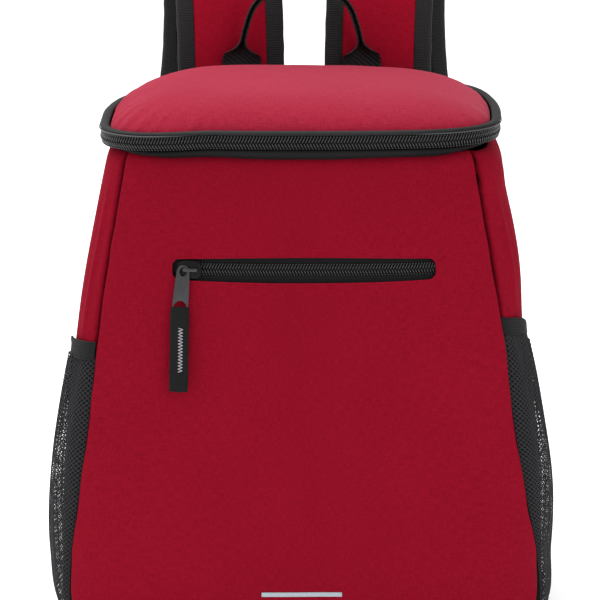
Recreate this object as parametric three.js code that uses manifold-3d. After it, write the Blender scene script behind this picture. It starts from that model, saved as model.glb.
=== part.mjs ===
// A cooler backpack: a soft insulated bag with a domed zip-round lid, a front pocket, two net side
// pockets, padded shoulder straps and a webbing carry handle.
// Millimetres, +Z up. The origin is the middle of the flat base and the front faces -Y.

import * as THREE from "three";
import { mergeVertices } from "three/addons/utils/BufferGeometryUtils.js";
import Module from "manifold-3d";

const wasm = await Module();
wasm.setup();

// Body
const bodyWidth = 298; // the widest place, near the base
const bodyHeight = 302; // base to the underside of the lid zip
const frontReach = 92; // how far the front panel bulges from the origin
const backReach = 90; // how far the back panel lies behind the origin
const frontWall = 2.5; // cloth with its thin backing
const bodyWall = 4.5; // cloth, foam and inner film
const seamGap = 0.3; // between neighbouring pieces
const widestShare = 0.32; // how far back the bag is widest, as a share of its depth
const frontRoundness = 3; // power of the outline ahead of the widest line
const backRoundness = 4.2;
const rearSeamShare = 0.9; // the seam to the back panel, as a share of the half width
const baseWall = 4;
const baseTuck = 5; // how far the flat of the base lies inside the outline

// Lid and its zip
const tapeInside = 4; // how far the lower tape reaches in over the wall
const tapeProud = 4.5; // how far the zip stands out from the body
const lowerTapeHeight = 4.5;
const coilHeight = 8.2;
const coilInside = 1.5;
const coilProud = 5.3;
const upperTapeHeight = 3.6;
const lidInset = 0.8; // the lid's edge, inside the body's outline
const lidWall = 4.5;
const lidCrown = 19; // crest above the lid's edge
const lidCrest = { x: -22, y: 22 };
const hingeHalfWidth = 72;
const hingeWall = 2.5;
const lidSliderLength = 15;
const lidSliderHeight = 10.5;
const lidSliderThickness = 3;

// Front pocket
const windowCentre = { x: 1.4, z: 234.8 };
const windowLength = 157.8;
const windowHeight = 14.6;
const windowEndHeight = 10.6;
const windowCorner = 3.5;
const zipTapeMargin = 6; // tape sewn behind the window's edge
const zipTapeWall = 1;
const zipCoilHeight = 8;
const zipCoilThickness = 2.4;
const sliderLength = 14.4;
const sliderHeight = 10;
const sliderThickness = 2.2;
const sliderFromEnd = 10.4; // slider's middle, from the window's left end
const bailFromEnd = 4;
const bailLength = 9.4;
const bailWire = 1.3;
const bailDepth = 2.2;
const pullThickness = 1.2;
const pullClearance = 0.5; // between the pull and what it swings past
const pullLength = 26;
const pullTopWidth = 7.6;
const pullBottomWidth = 9.9;
const pullEyeRadius = 2.25;
const pullEyeDrop = 0.6; // the eye hangs this far below the bail
const pullEyeToTop = 4.1;
const pullSlotWidth = 7.2;
const pullSlotHeight = 4.2;
const pullBar = 1.4; // metal below the slot
const pullLean = 4; // degrees that the tab hangs off plumb
const pullWebbingTurn = 4; // degrees that the webbing turns back on the tab's bar
const pullWebbingWidth = 11.3;
const pullWebbingLength = 51;
const pullWebbingThickness = 2.4;
const pullLoopWall = 1;
const stripWidth = 49;
const stripHeight = 2.8;
const stripUp = 35;
const stripThickness = 0.4;

// Side pockets
const leftPocketTop = 188; // top of the band at the front seam
const leftPocketDrop = 12; // how much lower it ends at the rear seam
const rightPocketTop = 204;
const rightPocketDrop = 22;
const netWall = 1;
const netBulge = 8.4;
const netEdgeOffset = 0.8; // off the gusset, along the net's seams
const bandHeight = 11;
const bandWall = 1.6;
const bandOffset = 1.2;

// Shoulder straps
const leftInset = 11.5; // from the bag's middle to the strap's inner edge
const rightInset = 15;
const strapWidth = 70;
const strapBinding = 11;
const strapCloth = 1;
const padEdge = 4.8; // thickness inside the binding
const padBulge = 2.6; // extra towards the wearer
const padClearance = 0.5; // between the pad and the tape around it
const strapRootDrop = 36; // where it is sewn on, below the body's top
const strapRise = 146; // crest above the root
const strapReach = 104; // crest's far side, behind the back panel
const strapSplay = 36; // outward lean of the hanging part
const strapStandOff = 3.3; // room beside the webbing for the lid's zip, under the strap
const webbingWidth = 25;
const webbingThickness = 1.5;
const buckleWidth = 34;
const buckleHeight = 27;
const buckleThickness = 4;
const buckleRail = 4;
const anchorWidth = 36;
const anchorHeight = 30;
const anchorUp = 14;
const anchorOut = 96;
const anchorWall = 1.5;

// Carry handle
const handleSpan = 75; // between the middles of its two ends
const handleRootDrop = 34; // its sewn ends start this far below the body's top
const handleRise = 114; // crest above the root
const handleFold = 83; // degrees that each half of the webbing turns at the grip

// What differs between the two sides: the bag is soft and hangs a little uneven.
const sides = [
  { name: "left", sign: -1, strapInset: leftInset, pocketTop: leftPocketTop, pocketDrop: leftPocketDrop },
  { name: "right", sign: 1, strapInset: rightInset, pocketTop: rightPocketTop, pocketDrop: rightPocketDrop },
];

// Body sections from base to lid: up is a share of the height, half of half the width, front and back
// of the two reaches, and seam is where the front panel ends, as a share of the half width there.
const bodySections = [
  { up: 0, half: 0.967, front: 0.935, back: 0.955, seam: 0.96 },
  { up: 0.05, half: 0.993, front: 0.97, back: 0.985, seam: 0.965 },
  { up: 0.14, half: 1, front: 0.99, back: 1, seam: 0.96 },
  { up: 0.3, half: 0.99, front: 1, back: 1, seam: 0.926 },
  { up: 0.45, half: 0.965, front: 0.985, back: 1, seam: 0.9 },
  { up: 0.62, half: 0.93, front: 0.94, back: 1, seam: 0.883 },
  { up: 0.75, half: 0.893, front: 0.88, back: 1, seam: 0.876 },
  { up: 0.87, half: 0.846, front: 0.805, back: 1, seam: 0.876 },
  { up: 1, half: 0.786, front: 0.7, back: 0.99, seam: 0.888 },
];

// The lid's dome: spread is the share of its outline, rise the share of its crown.
const lidRings = [
  { spread: 1, rise: 0 },
  { spread: 0.955, rise: 0.3 },
  { spread: 0.88, rise: 0.55 },
  { spread: 0.74, rise: 0.78 },
  { spread: 0.52, rise: 0.93 },
  { spread: 0.22, rise: 1 },
];

// The padded strap's middle line: out is a share of the splay, behind of the reach, up of the rise.
const strapRoute = [
  { out: 0, behind: -0.012, up: 0 },
  { out: 0, behind: 0.026, up: 0.22 },
  { out: 0, behind: 0.03, up: 0.38 },
  { out: 0.01, behind: 0.045, up: 0.54 },
  { out: 0.04, behind: 0.09, up: 0.71 },
  { out: 0.1, behind: 0.18, up: 0.87 },
  { out: 0.17, behind: 0.34, up: 0.98 },
  { out: 0.24, behind: 0.53, up: 1 },
  { out: 0.3, behind: 0.72, up: 0.94 },
  { out: 0.33, behind: 0.86, up: 0.8 },
  { out: 0.345, behind: 0.93, up: 0.61 },
  { out: 0.38, behind: 0.945, up: 0.36 },
  { out: 0.48, behind: 0.925, up: 0.1 },
  { out: 0.64, behind: 0.87, up: -0.2 },
  { out: 0.82, behind: 0.79, up: -0.46 },
  { out: 1, behind: 0.705, up: -0.69 },
];

// The handle's middle line from one end to its crest: across is a share of half the span, up of the
// rise, ahead of the webbing's width, and fold of the full fold.
const handleRoute = [
  { across: 1, ahead: 0.16, up: 0, fold: 0 },
  { across: 1, ahead: 0, up: 0.24, fold: 0 },
  { across: 1.01, ahead: 0, up: 0.42, fold: 0 },
  { across: 1.02, ahead: 0.04, up: 0.55, fold: 0.28 },
  { across: 1, ahead: 0.14, up: 0.66, fold: 0.85 },
  { across: 0.95, ahead: 0.2, up: 0.75, fold: 1 },
  { across: 0.8, ahead: 0.22, up: 0.87, fold: 1 },
  { across: 0.5, ahead: 0.24, up: 0.96, fold: 1 },
  { across: 0, ahead: 0.25, up: 1, fold: 1 },
];

const red = { color: 0x94112a, roughness: 0.85, metalness: 0 };
const lidRed = { color: 0xa8152f, roughness: 0.85, metalness: 0 };
const black = { color: 0x1d1d20, roughness: 0.85, metalness: 0 };
const padBlack = { color: 0x242427, roughness: 0.95, metalness: 0 };
const coilBlack = { color: 0x141416, roughness: 0.5, metalness: 0 };
const netBlack = { color: 0x2b2b2e, roughness: 0.8, metalness: 0 };
const plasticBlack = { color: 0x121214, roughness: 0.4, metalness: 0 };
const gunmetal = { color: 0x4a4a4e, roughness: 0.35, metalness: 0.9 };
const reflectiveGrey = { color: 0xb4bcc6, roughness: 0.4, metalness: 0 };

const radians = THREE.MathUtils.degToRad;
const mix = THREE.MathUtils.lerp;

// A function that reads the named columns of a table smoothly between its rows.
function smoothTable(rows, key, names) {
  const at = rows.map((row) => row[key]);
  const values = rows.flatMap((row) => names.map((name) => row[name]));
  const curve = new THREE.CubicInterpolant(at, values, names.length, new Float64Array(names.length));
  return (place) => {
    const found = curve.evaluate(place);
    return Object.fromEntries(names.map((name, i) => [name, found[i]]));
  };
}

const sectionShares = smoothTable(bodySections, "up", ["half", "front", "back", "seam"]);

// The bag's outline at a height: half width, the widest line, and the depth before and behind it.
function sectionAt(z) {
  const share = sectionShares(z / bodyHeight);
  const front = share.front * frontReach;
  const back = share.back * backReach;
  const widest = -front + widestShare * (front + back);
  return {
    half: (share.half * bodyWidth) / 2,
    widest,
    ahead: widest + front,
    behind: back - widest,
    seam: share.seam,
  };
}

// The point of the outline in a direction: 0 is the front's middle, and the angle grows towards +X.
// Grow moves it outwards, square to the outline.
function outlinePoint(z, angle, grow = 0) {
  const section = sectionAt(z);
  const isFront = Math.cos(angle) >= 0;
  const power = isFront ? frontRoundness : backRoundness;
  const depth = isFront ? section.ahead : section.behind;
  const across = Math.abs(Math.sin(angle) / section.half);
  const along = Math.abs(Math.cos(angle) / depth);
  const radius = (across ** power + along ** power) ** (-1 / power);
  const normal = new THREE.Vector3(
    (Math.sign(Math.sin(angle)) * (across * radius) ** (power - 1)) / section.half,
    (-Math.sign(Math.cos(angle)) * (along * radius) ** (power - 1)) / depth,
    0,
  ).normalize();
  return new THREE.Vector3(radius * Math.sin(angle), section.widest - radius * Math.cos(angle), z)
    .addScaledVector(normal, grow);
}

// The direction in which the outline has the given half width, ahead of the widest line or behind it.
function angleOfShare(z, share, isFront) {
  const section = sectionAt(z);
  const power = isFront ? frontRoundness : backRoundness;
  const depth = isFront ? section.ahead : section.behind;
  const along = depth * (1 - share ** power) ** (1 / power);
  return Math.atan2(share * section.half, isFront ? along : -along);
}

// The two seam lines, as angles.
const frontSeam = (z) => angleOfShare(z, sectionAt(z).seam, true);
const rearSeam = (z) => angleOfShare(z, rearSeamShare, false);

// An angle moved along the outline by a distance.
function shifted(z, angle, distance) {
  return angle + distance / Math.hypot(outlinePoint(z, angle).x, outlinePoint(z, angle).y);
}

// A point on the front or back panel's outer face, by its x and z.
function facePoint(x, z, isFront, grow = 0) {
  const share = Math.abs(x) / sectionAt(z).half;
  return outlinePoint(z, Math.sign(x) * angleOfShare(z, share, isFront), grow);
}

// A closed body from its points and faces, turned so that the faces point out.
function closedBody(points, faces) {
  let volume = 0;
  for (const [a, b, c] of faces) {
    volume += points[a].dot(points[b].clone().cross(points[c]));
  }
  const index = faces.flatMap(([a, b, c]) => (volume < 0 ? [a, c, b] : [a, b, c]));
  const geometry = new THREE.BufferGeometry().setFromPoints(points);
  geometry.setIndex(index);
  geometry.computeVertexNormals();
  return geometry;
}

// A sheet with a thickness: near and far give its two faces for u and v from 0 to 1.
function sheetBody(columns, rows, near, far) {
  const points = [];
  for (const face of [near, far]) {
    for (let j = 0; j <= rows; j++) {
      for (let i = 0; i <= columns; i++) points.push(face(i / columns, j / rows));
    }
  }
  const at = (layer, i, j) => layer * (rows + 1) * (columns + 1) + j * (columns + 1) + i;
  const faces = [];
  for (let j = 0; j < rows; j++) {
    for (let i = 0; i < columns; i++) {
      faces.push([at(0, i, j), at(0, i + 1, j), at(0, i + 1, j + 1)]);
      faces.push([at(0, i, j), at(0, i + 1, j + 1), at(0, i, j + 1)]);
      faces.push([at(1, i, j), at(1, i + 1, j + 1), at(1, i + 1, j)]);
      faces.push([at(1, i, j), at(1, i, j + 1), at(1, i + 1, j + 1)]);
    }
  }
  for (let i = 0; i < columns; i++) {
    faces.push([at(0, i, 0), at(1, i, 0), at(1, i + 1, 0)]);
    faces.push([at(0, i, 0), at(1, i + 1, 0), at(0, i + 1, 0)]);
    faces.push([at(0, i, rows), at(1, i + 1, rows), at(1, i, rows)]);
    faces.push([at(0, i, rows), at(0, i + 1, rows), at(1, i + 1, rows)]);
  }
  for (let j = 0; j < rows; j++) {
    faces.push([at(0, 0, j), at(1, 0, j + 1), at(1, 0, j)]);
    faces.push([at(0, 0, j), at(0, 0, j + 1), at(1, 0, j + 1)]);
    faces.push([at(0, columns, j), at(1, columns, j), at(1, columns, j + 1)]);
    faces.push([at(0, columns, j), at(1, columns, j + 1), at(0, columns, j + 1)]);
  }
  return closedBody(points, faces);
}

// A body through rings of points. It closes on itself, or its two ends are capped: with the faces given
// for one ring, or from the ring's middle.
function loftBody(rings, isLoop = false, capFaces = null) {
  const count = rings[0].length;
  const points = rings.flat();
  const faces = [];
  const joints = isLoop ? rings.length : rings.length - 1;
  for (let j = 0; j < joints; j++) {
    const low = j * count;
    const high = ((j + 1) % rings.length) * count;
    for (let i = 0; i < count; i++) {
      const next = (i + 1) % count;
      faces.push([low + i, low + next, high + next]);
      faces.push([low + i, high + next, high + i]);
    }
  }
  if (!isLoop) {
    for (const [ring, start, isLast] of [
      [rings[0], 0, false],
      [rings.at(-1), (rings.length - 1) * count, true],
    ]) {
      if (capFaces) {
        faces.push(...capFaces.map(([a, b, c]) => (isLast ? [a, b, c] : [a, c, b]).map((i) => start + i)));
        continue;
      }
      const middle = ring.reduce((sum, p) => sum.add(p), new THREE.Vector3()).divideScalar(count);
      const tip = points.push(middle) - 1;
      for (let i = 0; i < count; i++) {
        const next = (i + 1) % count;
        faces.push(isLast ? [start + i, start + next, tip] : [start + next, start + i, tip]);
      }
    }
  }
  return closedBody(points, faces);
}

// Booleans
function solidOf(geometry) {
  const bare = geometry.index ? geometry.toNonIndexed() : geometry.clone();
  bare.deleteAttribute("normal");
  bare.deleteAttribute("uv");
  const merged = mergeVertices(bare, 1e-4);
  return new wasm.Manifold(
    new wasm.Mesh({
      numProp: 3,
      vertProperties: merged.attributes.position.array,
      triVerts: new Uint32Array(merged.index.array),
    }),
  );
}

function geometryOf(solid) {
  const mesh = solid.getMesh();
  const geometry = new THREE.BufferGeometry();
  geometry.setAttribute("position", new THREE.BufferAttribute(mesh.vertProperties, 3));
  geometry.setIndex(new THREE.BufferAttribute(mesh.triVerts, 1));
  geometry.computeVertexNormals();
  return geometry;
}

const joined = (a, b) => geometryOf(solidOf(a).add(solidOf(b)));
const cut = (a, b) => geometryOf(solidOf(a).subtract(solidOf(b)));

function piece(name, geometry, look) {
  const mesh = new THREE.Mesh(geometry, new THREE.MeshStandardMaterial(look));
  mesh.name = name;
  return mesh;
}

function roundedRectangle(width, height, corner) {
  const x = width / 2;
  const y = height / 2;
  const shape = new THREE.Shape();
  shape.moveTo(-x + corner, -y);
  shape.lineTo(x - corner, -y);
  shape.absarc(x - corner, -y + corner, corner, -Math.PI / 2, 0);
  shape.lineTo(x, y - corner);
  shape.absarc(x - corner, y - corner, corner, 0, Math.PI / 2);
  shape.lineTo(-x + corner, y);
  shape.absarc(-x + corner, y - corner, corner, Math.PI / 2, Math.PI);
  shape.lineTo(-x, -y + corner);
  shape.absarc(-x + corner, -y + corner, corner, Math.PI, 1.5 * Math.PI);
  return shape;
}

const flatSolid = (shape, depth, curveSegments = 4) =>
  new THREE.ExtrudeGeometry(shape, { depth, curveSegments, steps: 1, bevelEnabled: false });

// A wall that follows the bag's outline. from and to are angles by height, low and high are heights by u,
// outside and inside are distances from the outline.
function outlineWall({ columns, rows, from, to, low, high, outside, inside }) {
  const face = (distance) => (u, v) => {
    const z = mix(low(u), high(u), v);
    return outlinePoint(z, mix(from(z), to(z), u), distance(u, v));
  };
  return sheetBody(columns, rows, face(outside), face(inside));
}

const same = (value) => () => value;
const wallBottom = baseWall + seamGap;

// The window that the pocket's zip shows through, as half its height by distance from its middle.
function windowHalfHeight(x) {
  const bow = 1 - (x / (windowLength / 2)) ** 2;
  return (windowEndHeight + (windowHeight - windowEndHeight) * bow) / 2;
}

function windowShape() {
  const end = windowLength / 2;
  const side = windowEndHeight / 2;
  const middle = windowHeight - windowEndHeight / 2; // a quadratic curve rises half way to its control
  const shape = new THREE.Shape();
  shape.moveTo(-end + windowCorner, -side);
  shape.quadraticCurveTo(0, -middle, end - windowCorner, -side);
  shape.quadraticCurveTo(end, -side, end, -side + windowCorner);
  shape.lineTo(end, side - windowCorner);
  shape.quadraticCurveTo(end, side, end - windowCorner, side);
  shape.quadraticCurveTo(0, middle, -end + windowCorner, side);
  shape.quadraticCurveTo(-end, side, -end, side - windowCorner);
  shape.lineTo(-end, -side + windowCorner);
  shape.quadraticCurveTo(-end, -side, -end + windowCorner, -side);
  return shape;
}

function frontPanel() {
  const wall = outlineWall({
    columns: 16,
    rows: 11,
    from: (z) => -shifted(z, frontSeam(z), -seamGap / 2),
    to: (z) => shifted(z, frontSeam(z), -seamGap / 2),
    low: same(wallBottom),
    high: same(bodyHeight),
    outside: same(0),
    inside: same(-frontWall),
  });
  const cutter = flatSolid(windowShape(), frontReach, 6);
  cutter.rotateX(Math.PI / 2);
  cutter.translate(windowCentre.x, -frontReach / 4, windowCentre.z);
  return cut(wall, cutter);
}

// The heights of a pocket's elastic band along its gusset, from the front seam to the rear one.
const bandTop = (side) => (u) => side.pocketTop - side.pocketDrop * u;
const bandBottom = (side) => (u) => bandTop(side)(u) - bandHeight;
const gussetSeam = (side) => (u) => bandTop(side)(u) - bandHeight / 2;

function gussetWall(side, values) {
  return outlineWall({
    columns: 12,
    from: (z) => side.sign * shifted(z, frontSeam(z), seamGap / 2),
    to: (z) => side.sign * shifted(z, rearSeam(z), -seamGap / 2),
    ...values,
  });
}

function upperGusset(side) {
  return gussetWall(side, {
    rows: 6,
    low: (u) => gussetSeam(side)(u) + seamGap / 2,
    high: same(bodyHeight),
    outside: same(0),
    inside: same(-bodyWall),
  });
}

function lowerGusset(side) {
  return gussetWall(side, {
    rows: 8,
    low: same(wallBottom),
    high: (u) => gussetSeam(side)(u) - seamGap / 2,
    outside: same(0),
    inside: same(-bodyWall),
  });
}

// The net stands off the gusset in the middle and comes back to it at its seams.
function netOffset(u, v) {
  const across = Math.sin(Math.PI * u) ** 0.7;
  const upwards = Math.sin(Math.PI * mix(0.06, 0.94, v)) ** 0.8;
  return netEdgeOffset + netBulge * across * upwards;
}

function pocketNet(side) {
  return gussetWall(side, {
    rows: 8,
    low: same(wallBottom),
    high: (u) => bandBottom(side)(u) - seamGap,
    outside: (u, v) => netOffset(u, v) + netWall,
    inside: netOffset,
  });
}

function pocketBand(side) {
  return gussetWall(side, {
    rows: 1,
    low: bandBottom(side),
    high: bandTop(side),
    outside: same(bandOffset + bandWall),
    inside: same(bandOffset),
  });
}

function backPanel() {
  return outlineWall({
    columns: 14,
    rows: 9,
    from: (z) => shifted(z, rearSeam(z), seamGap / 2),
    to: (z) => 2 * Math.PI - shifted(z, rearSeam(z), seamGap / 2),
    low: same(wallBottom),
    high: same(bodyHeight),
    outside: same(0),
    inside: same(-bodyWall),
  });
}

// Angles around the whole outline, closer together at the four corners.
const aroundCount = 44;
const around = Array.from({ length: aroundCount }, (_, i) => (2 * Math.PI * i) / aroundCount);

function basePanel() {
  const ring = (z, grow) => around.map((angle) => outlinePoint(baseWall, angle, grow).setZ(z));
  return loftBody([ring(0, -baseTuck), ring(baseWall * 0.45, -baseTuck * 0.35), ring(baseWall, 0)]);
}

// A bar around the rim of the body, between two angles or all the way.
function rimBar(inside, outside, low, high, angles, isLoop) {
  const corner = (angle, grow, z) => outlinePoint(bodyHeight, angle, grow).setZ(z);
  const rings = angles.map((angle) => [
    corner(angle, inside, low),
    corner(angle, outside, low),
    corner(angle, outside, high),
    corner(angle, inside, high),
  ]);
  return loftBody(rings, isLoop);
}

const lowerTapeBottom = bodyHeight + seamGap;
const lowerTapeTop = lowerTapeBottom + lowerTapeHeight;
const coilBottom = lowerTapeTop + seamGap;
const coilTop = coilBottom + coilHeight;
const upperTapeBottom = coilTop + seamGap;
const upperTapeTop = upperTapeBottom + upperTapeHeight;
const hingeAngle = Math.atan2(hingeHalfWidth, sectionAt(bodyHeight).behind);

function anglesBetween(from, to, count) {
  return Array.from({ length: count + 1 }, (_, i) => mix(from, to, i / count));
}

const lidCoil = () =>
  rimBar(
    coilInside,
    coilProud,
    coilBottom,
    coilTop,
    anglesBetween(-Math.PI + hingeAngle + 0.01, Math.PI - hingeAngle - 0.01, 42),
    false,
  );

const lidHinge = () =>
  rimBar(
    coilInside,
    coilInside + hingeWall,
    coilBottom,
    coilTop,
    anglesBetween(Math.PI - hingeAngle + 0.01, Math.PI + hingeAngle - 0.01, 8),
    false,
  );

// The lid: a padded shell whose rings shrink towards a crest.
function lidPanel() {
  const edge = upperTapeBottom + seamGap;
  const ring = ({ spread, rise }, inset, drop) =>
    around.map((angle) => {
      const point = outlinePoint(bodyHeight, angle, -lidInset - seamGap - inset);
      const crest = new THREE.Vector3(lidCrest.x, lidCrest.y, 0);
      return crest.lerp(point, spread).setZ(edge + Math.max(lidCrown * rise - drop, 0));
    });
  const outside = lidRings.map((row) => ring(row, 0, 0));
  const inside = lidRings
    .filter((_, i) => i % 2 === 0)
    .map((row) => ring(row, lidWall * row.spread, lidWall));
  return loftBody([...outside.reverse(), ...inside]);
}

// A plain slider, parked on the lid's coil at the back.
function lidSlider() {
  const angle = Math.PI - hingeAngle - 0.12;
  const before = outlinePoint(bodyHeight, angle - 0.01);
  const after = outlinePoint(bodyHeight, angle + 0.01);
  const along = after.sub(before).normalize();
  const place = outlinePoint(bodyHeight, angle, coilProud + seamGap * 2);
  const body = flatSolid(roundedRectangle(lidSliderLength, lidSliderHeight, 2), lidSliderThickness);
  const up = new THREE.Vector3(0, 0, 1);
  const mesh = piece("lid_slider", body, gunmetal);
  mesh.matrixAutoUpdate = false;
  mesh.matrix.makeBasis(along, up, along.clone().cross(up));
  mesh.matrix.setPosition(place.setZ((coilBottom + coilTop) / 2));
  return mesh;
}

// The tape sewn behind the window, and the coil along its middle.
const tapeFace = -frontWall - 2 * seamGap;

function zipTape() {
  const face = (depth) => (u, v) => {
    const x = mix(-1, 1, u) * (windowLength / 2 + zipTapeMargin);
    const inWindow = Math.min(Math.abs(x), windowLength / 2);
    const up = mix(-1, 1, v) * (windowHalfHeight(inWindow) + zipTapeMargin);
    return facePoint(windowCentre.x + x, windowCentre.z + up, true, depth);
  };
  return sheetBody(16, 2, face(tapeFace), face(tapeFace - zipTapeWall));
}

function zipCoil() {
  const half = windowLength / 2 - windowCorner;
  const bottom = tapeFace + seamGap;
  const face = (depth) => (u, v) => {
    const x = windowCentre.x + mix(-half, half, u);
    return facePoint(x, windowCentre.z + mix(-0.5, 0.5, v) * zipCoilHeight, true, depth);
  };
  return sheetBody(16, 1, face(bottom + zipCoilThickness), face(bottom));
}

// The slider's place on the panel: its local x runs along the zip, y up the panel and z outwards.
const sliderX = windowCentre.x - windowLength / 2 + sliderFromEnd;
const sliderFoot = tapeFace + seamGap + zipCoilThickness + seamGap; // above the panel's face
const bailX = -sliderLength / 2 + bailFromEnd; // the foot that the pull hangs on
const bailGap = pullThickness + 2 * pullClearance;

function sliderPlace() {
  const at = (x, z) => facePoint(sliderX + x, windowCentre.z + z, true);
  const along = at(sliderLength / 2, 0).sub(at(-sliderLength / 2, 0)).normalize();
  const up = at(0, sliderHeight / 2).sub(at(0, -sliderHeight / 2));
  const outwards = along.clone().cross(up).normalize();
  const group = new THREE.Group();
  group.position.copy(at(0, 0));
  const basis = new THREE.Matrix4().makeBasis(along, outwards.clone().cross(along), outwards);
  group.quaternion.setFromRotationMatrix(basis);
  return group;
}

function sliderBody() {
  const plate = flatSolid(roundedRectangle(sliderLength, sliderHeight, 2.5), sliderThickness);
  plate.translate(0, 0, sliderFoot);
  const top = bailGap + bailWire;
  const arch = new THREE.Shape();
  arch.moveTo(0, -sliderThickness / 2);
  arch.lineTo(0, top - bailWire);
  arch.quadraticCurveTo(0, top, bailWire, top);
  arch.lineTo(bailLength - bailWire, top);
  arch.quadraticCurveTo(bailLength, top, bailLength, top - bailWire);
  arch.lineTo(bailLength, -sliderThickness / 2);
  arch.lineTo(bailLength - bailWire, -sliderThickness / 2);
  arch.lineTo(bailLength - bailWire, top - bailWire);
  arch.lineTo(bailWire, top - bailWire);
  arch.lineTo(bailWire, -sliderThickness / 2);
  const bail = flatSolid(arch, bailDepth, 3);
  bail.rotateX(Math.PI / 2);
  bail.translate(bailX - bailWire / 2, bailDepth / 2, sliderFoot + sliderThickness);
  return joined(plate, bail);
}

// The pull hangs from the bail's left foot. Its own origin is that foot.
function pullTab() {
  const top = pullEyeToTop - pullEyeDrop;
  const bottom = top - pullLength;
  const shape = new THREE.Shape();
  shape.moveTo(-pullBottomWidth / 2, bottom + 1);
  shape.quadraticCurveTo(-pullBottomWidth / 2, bottom, -pullBottomWidth / 2 + 1, bottom);
  shape.lineTo(pullBottomWidth / 2 - 1, bottom);
  shape.quadraticCurveTo(pullBottomWidth / 2, bottom, pullBottomWidth / 2, bottom + 1);
  shape.lineTo(pullTopWidth / 2, -pullEyeRadius);
  shape.quadraticCurveTo(pullTopWidth / 2, top, 0, top);
  shape.quadraticCurveTo(-pullTopWidth / 2, top, -pullTopWidth / 2, -pullEyeRadius);
  const eye = new THREE.Path();
  eye.absarc(0, -pullEyeDrop, pullEyeRadius, 0, 2 * Math.PI, true);
  const slot = new THREE.Path();
  const sill = bottom + pullBar;
  slot.moveTo(-pullSlotWidth / 2, sill);
  slot.bezierCurveTo(
    -pullSlotWidth / 2,
    sill + (pullSlotHeight * 4) / 3,
    pullSlotWidth / 2,
    sill + (pullSlotHeight * 4) / 3,
    pullSlotWidth / 2,
    sill,
  );
  shape.holes.push(eye, slot);
  const tab = flatSolid(shape, pullThickness, 5);
  tab.translate(0, 0, -pullThickness / 2);
  return tab;
}

const pullBarUp = pullEyeToTop - pullEyeDrop - pullLength + pullBar / 2; // the bar below the slot

// The webbing grip: a flat strip with a narrow loop around the tab's bar, which is its own origin.
function pullWebbing() {
  const bar = -pullBar / 2;
  const room = pullThickness / 2 + seamGap;
  const roof = bar + pullBar + seamGap;
  const loop = new THREE.Shape();
  loop.moveTo(-room - pullLoopWall, bar - pullBar * 2);
  loop.lineTo(-room - pullLoopWall, roof);
  loop.quadraticCurveTo(-room - pullLoopWall, roof + pullLoopWall, 0, roof + pullLoopWall);
  loop.quadraticCurveTo(room + pullLoopWall, roof + pullLoopWall, room + pullLoopWall, roof);
  loop.lineTo(room + pullLoopWall, bar - pullBar * 2);
  const hole = new THREE.Path();
  hole.moveTo(-room, bar - seamGap);
  hole.lineTo(room, bar - seamGap);
  hole.lineTo(room, roof);
  hole.lineTo(-room, roof);
  loop.holes.push(hole);
  const loopWidth = pullSlotWidth * 0.62;
  const neck = flatSolid(loop, loopWidth, 3);
  neck.translate(0, 0, -loopWidth / 2);
  neck.rotateY(-Math.PI / 2);
  const strip = flatSolid(
    roundedRectangle(pullWebbingWidth, pullWebbingLength, 0.8),
    pullWebbingThickness,
    2,
  );
  strip.translate(0, bar - pullBar / 2 - pullWebbingLength / 2, -pullWebbingThickness / 2);
  return joined(neck, strip);
}

function pocketZipParts() {
  const place = sliderPlace();
  place.add(piece("pocket_zip_slider", sliderBody(), gunmetal));
  const pull = new THREE.Group();
  pull.position.set(bailX, 0, sliderFoot + sliderThickness + bailGap / 2);
  pull.rotation.z = -radians(pullLean);
  pull.add(piece("zip_pull_tab", pullTab(), gunmetal));
  const grip = piece("zip_pull_webbing", pullWebbing(), black);
  grip.position.y = pullBarUp;
  grip.rotation.z = radians(pullWebbingTurn);
  pull.add(grip);
  place.add(pull);
  return place;
}

function reflectiveStrip() {
  const face = (depth) => (u, v) =>
    facePoint(mix(-0.5, 0.5, u) * stripWidth, stripUp + mix(-0.5, 0.5, v) * stripHeight, true, depth);
  return sheetBody(6, 1, face(seamGap + stripThickness), face(seamGap));
}

// Straps
const padHalf = padEdge / 2;
const strapHalfThickness = padHalf + padClearance + strapCloth;
const strapSeat = backReach + webbingThickness + strapStandOff + strapHalfThickness;

function strapCurve(side) {
  const points = strapRoute.map(({ out, behind, up }) => {
    const z = bodyHeight - strapRootDrop + up * strapRise;
    const across = side.strapInset + strapWidth / 2 + out * strapSplay;
    const y = strapSeat + behind * strapReach;
    return new THREE.Vector3(side.sign * across, y, z);
  });
  return new THREE.CatmullRomCurve3(points);
}

// A band lofted along a curve with its width level. The section is a list of [across, outwards] pairs.
function bandAlong(curve, count, section, from = 0, to = 1) {
  const level = new THREE.Vector3(1, 0, 0);
  const rings = Array.from({ length: count + 1 }, (_, i) => {
    const t = mix(from, to, i / count);
    const place = curve.getPointAt(t);
    const along = curve.getTangentAt(t);
    const across = level.clone().addScaledVector(along, -level.dot(along)).normalize();
    const outwards = across.clone().cross(along);
    return section.map(([a, b]) =>
      place.clone().addScaledVector(across, a).addScaledVector(outwards, b),
    );
  });
  const outline = section.map(([a, b]) => new THREE.Vector2(a, b));
  const isClockwise = THREE.ShapeUtils.isClockWise(outline);
  const caps = THREE.ShapeUtils.triangulateShape(outline, []);
  return loftBody(rings, false, isClockwise ? caps.map(([a, b, c]) => [a, c, b]) : caps);
}

const strapSteps = 22;

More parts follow.
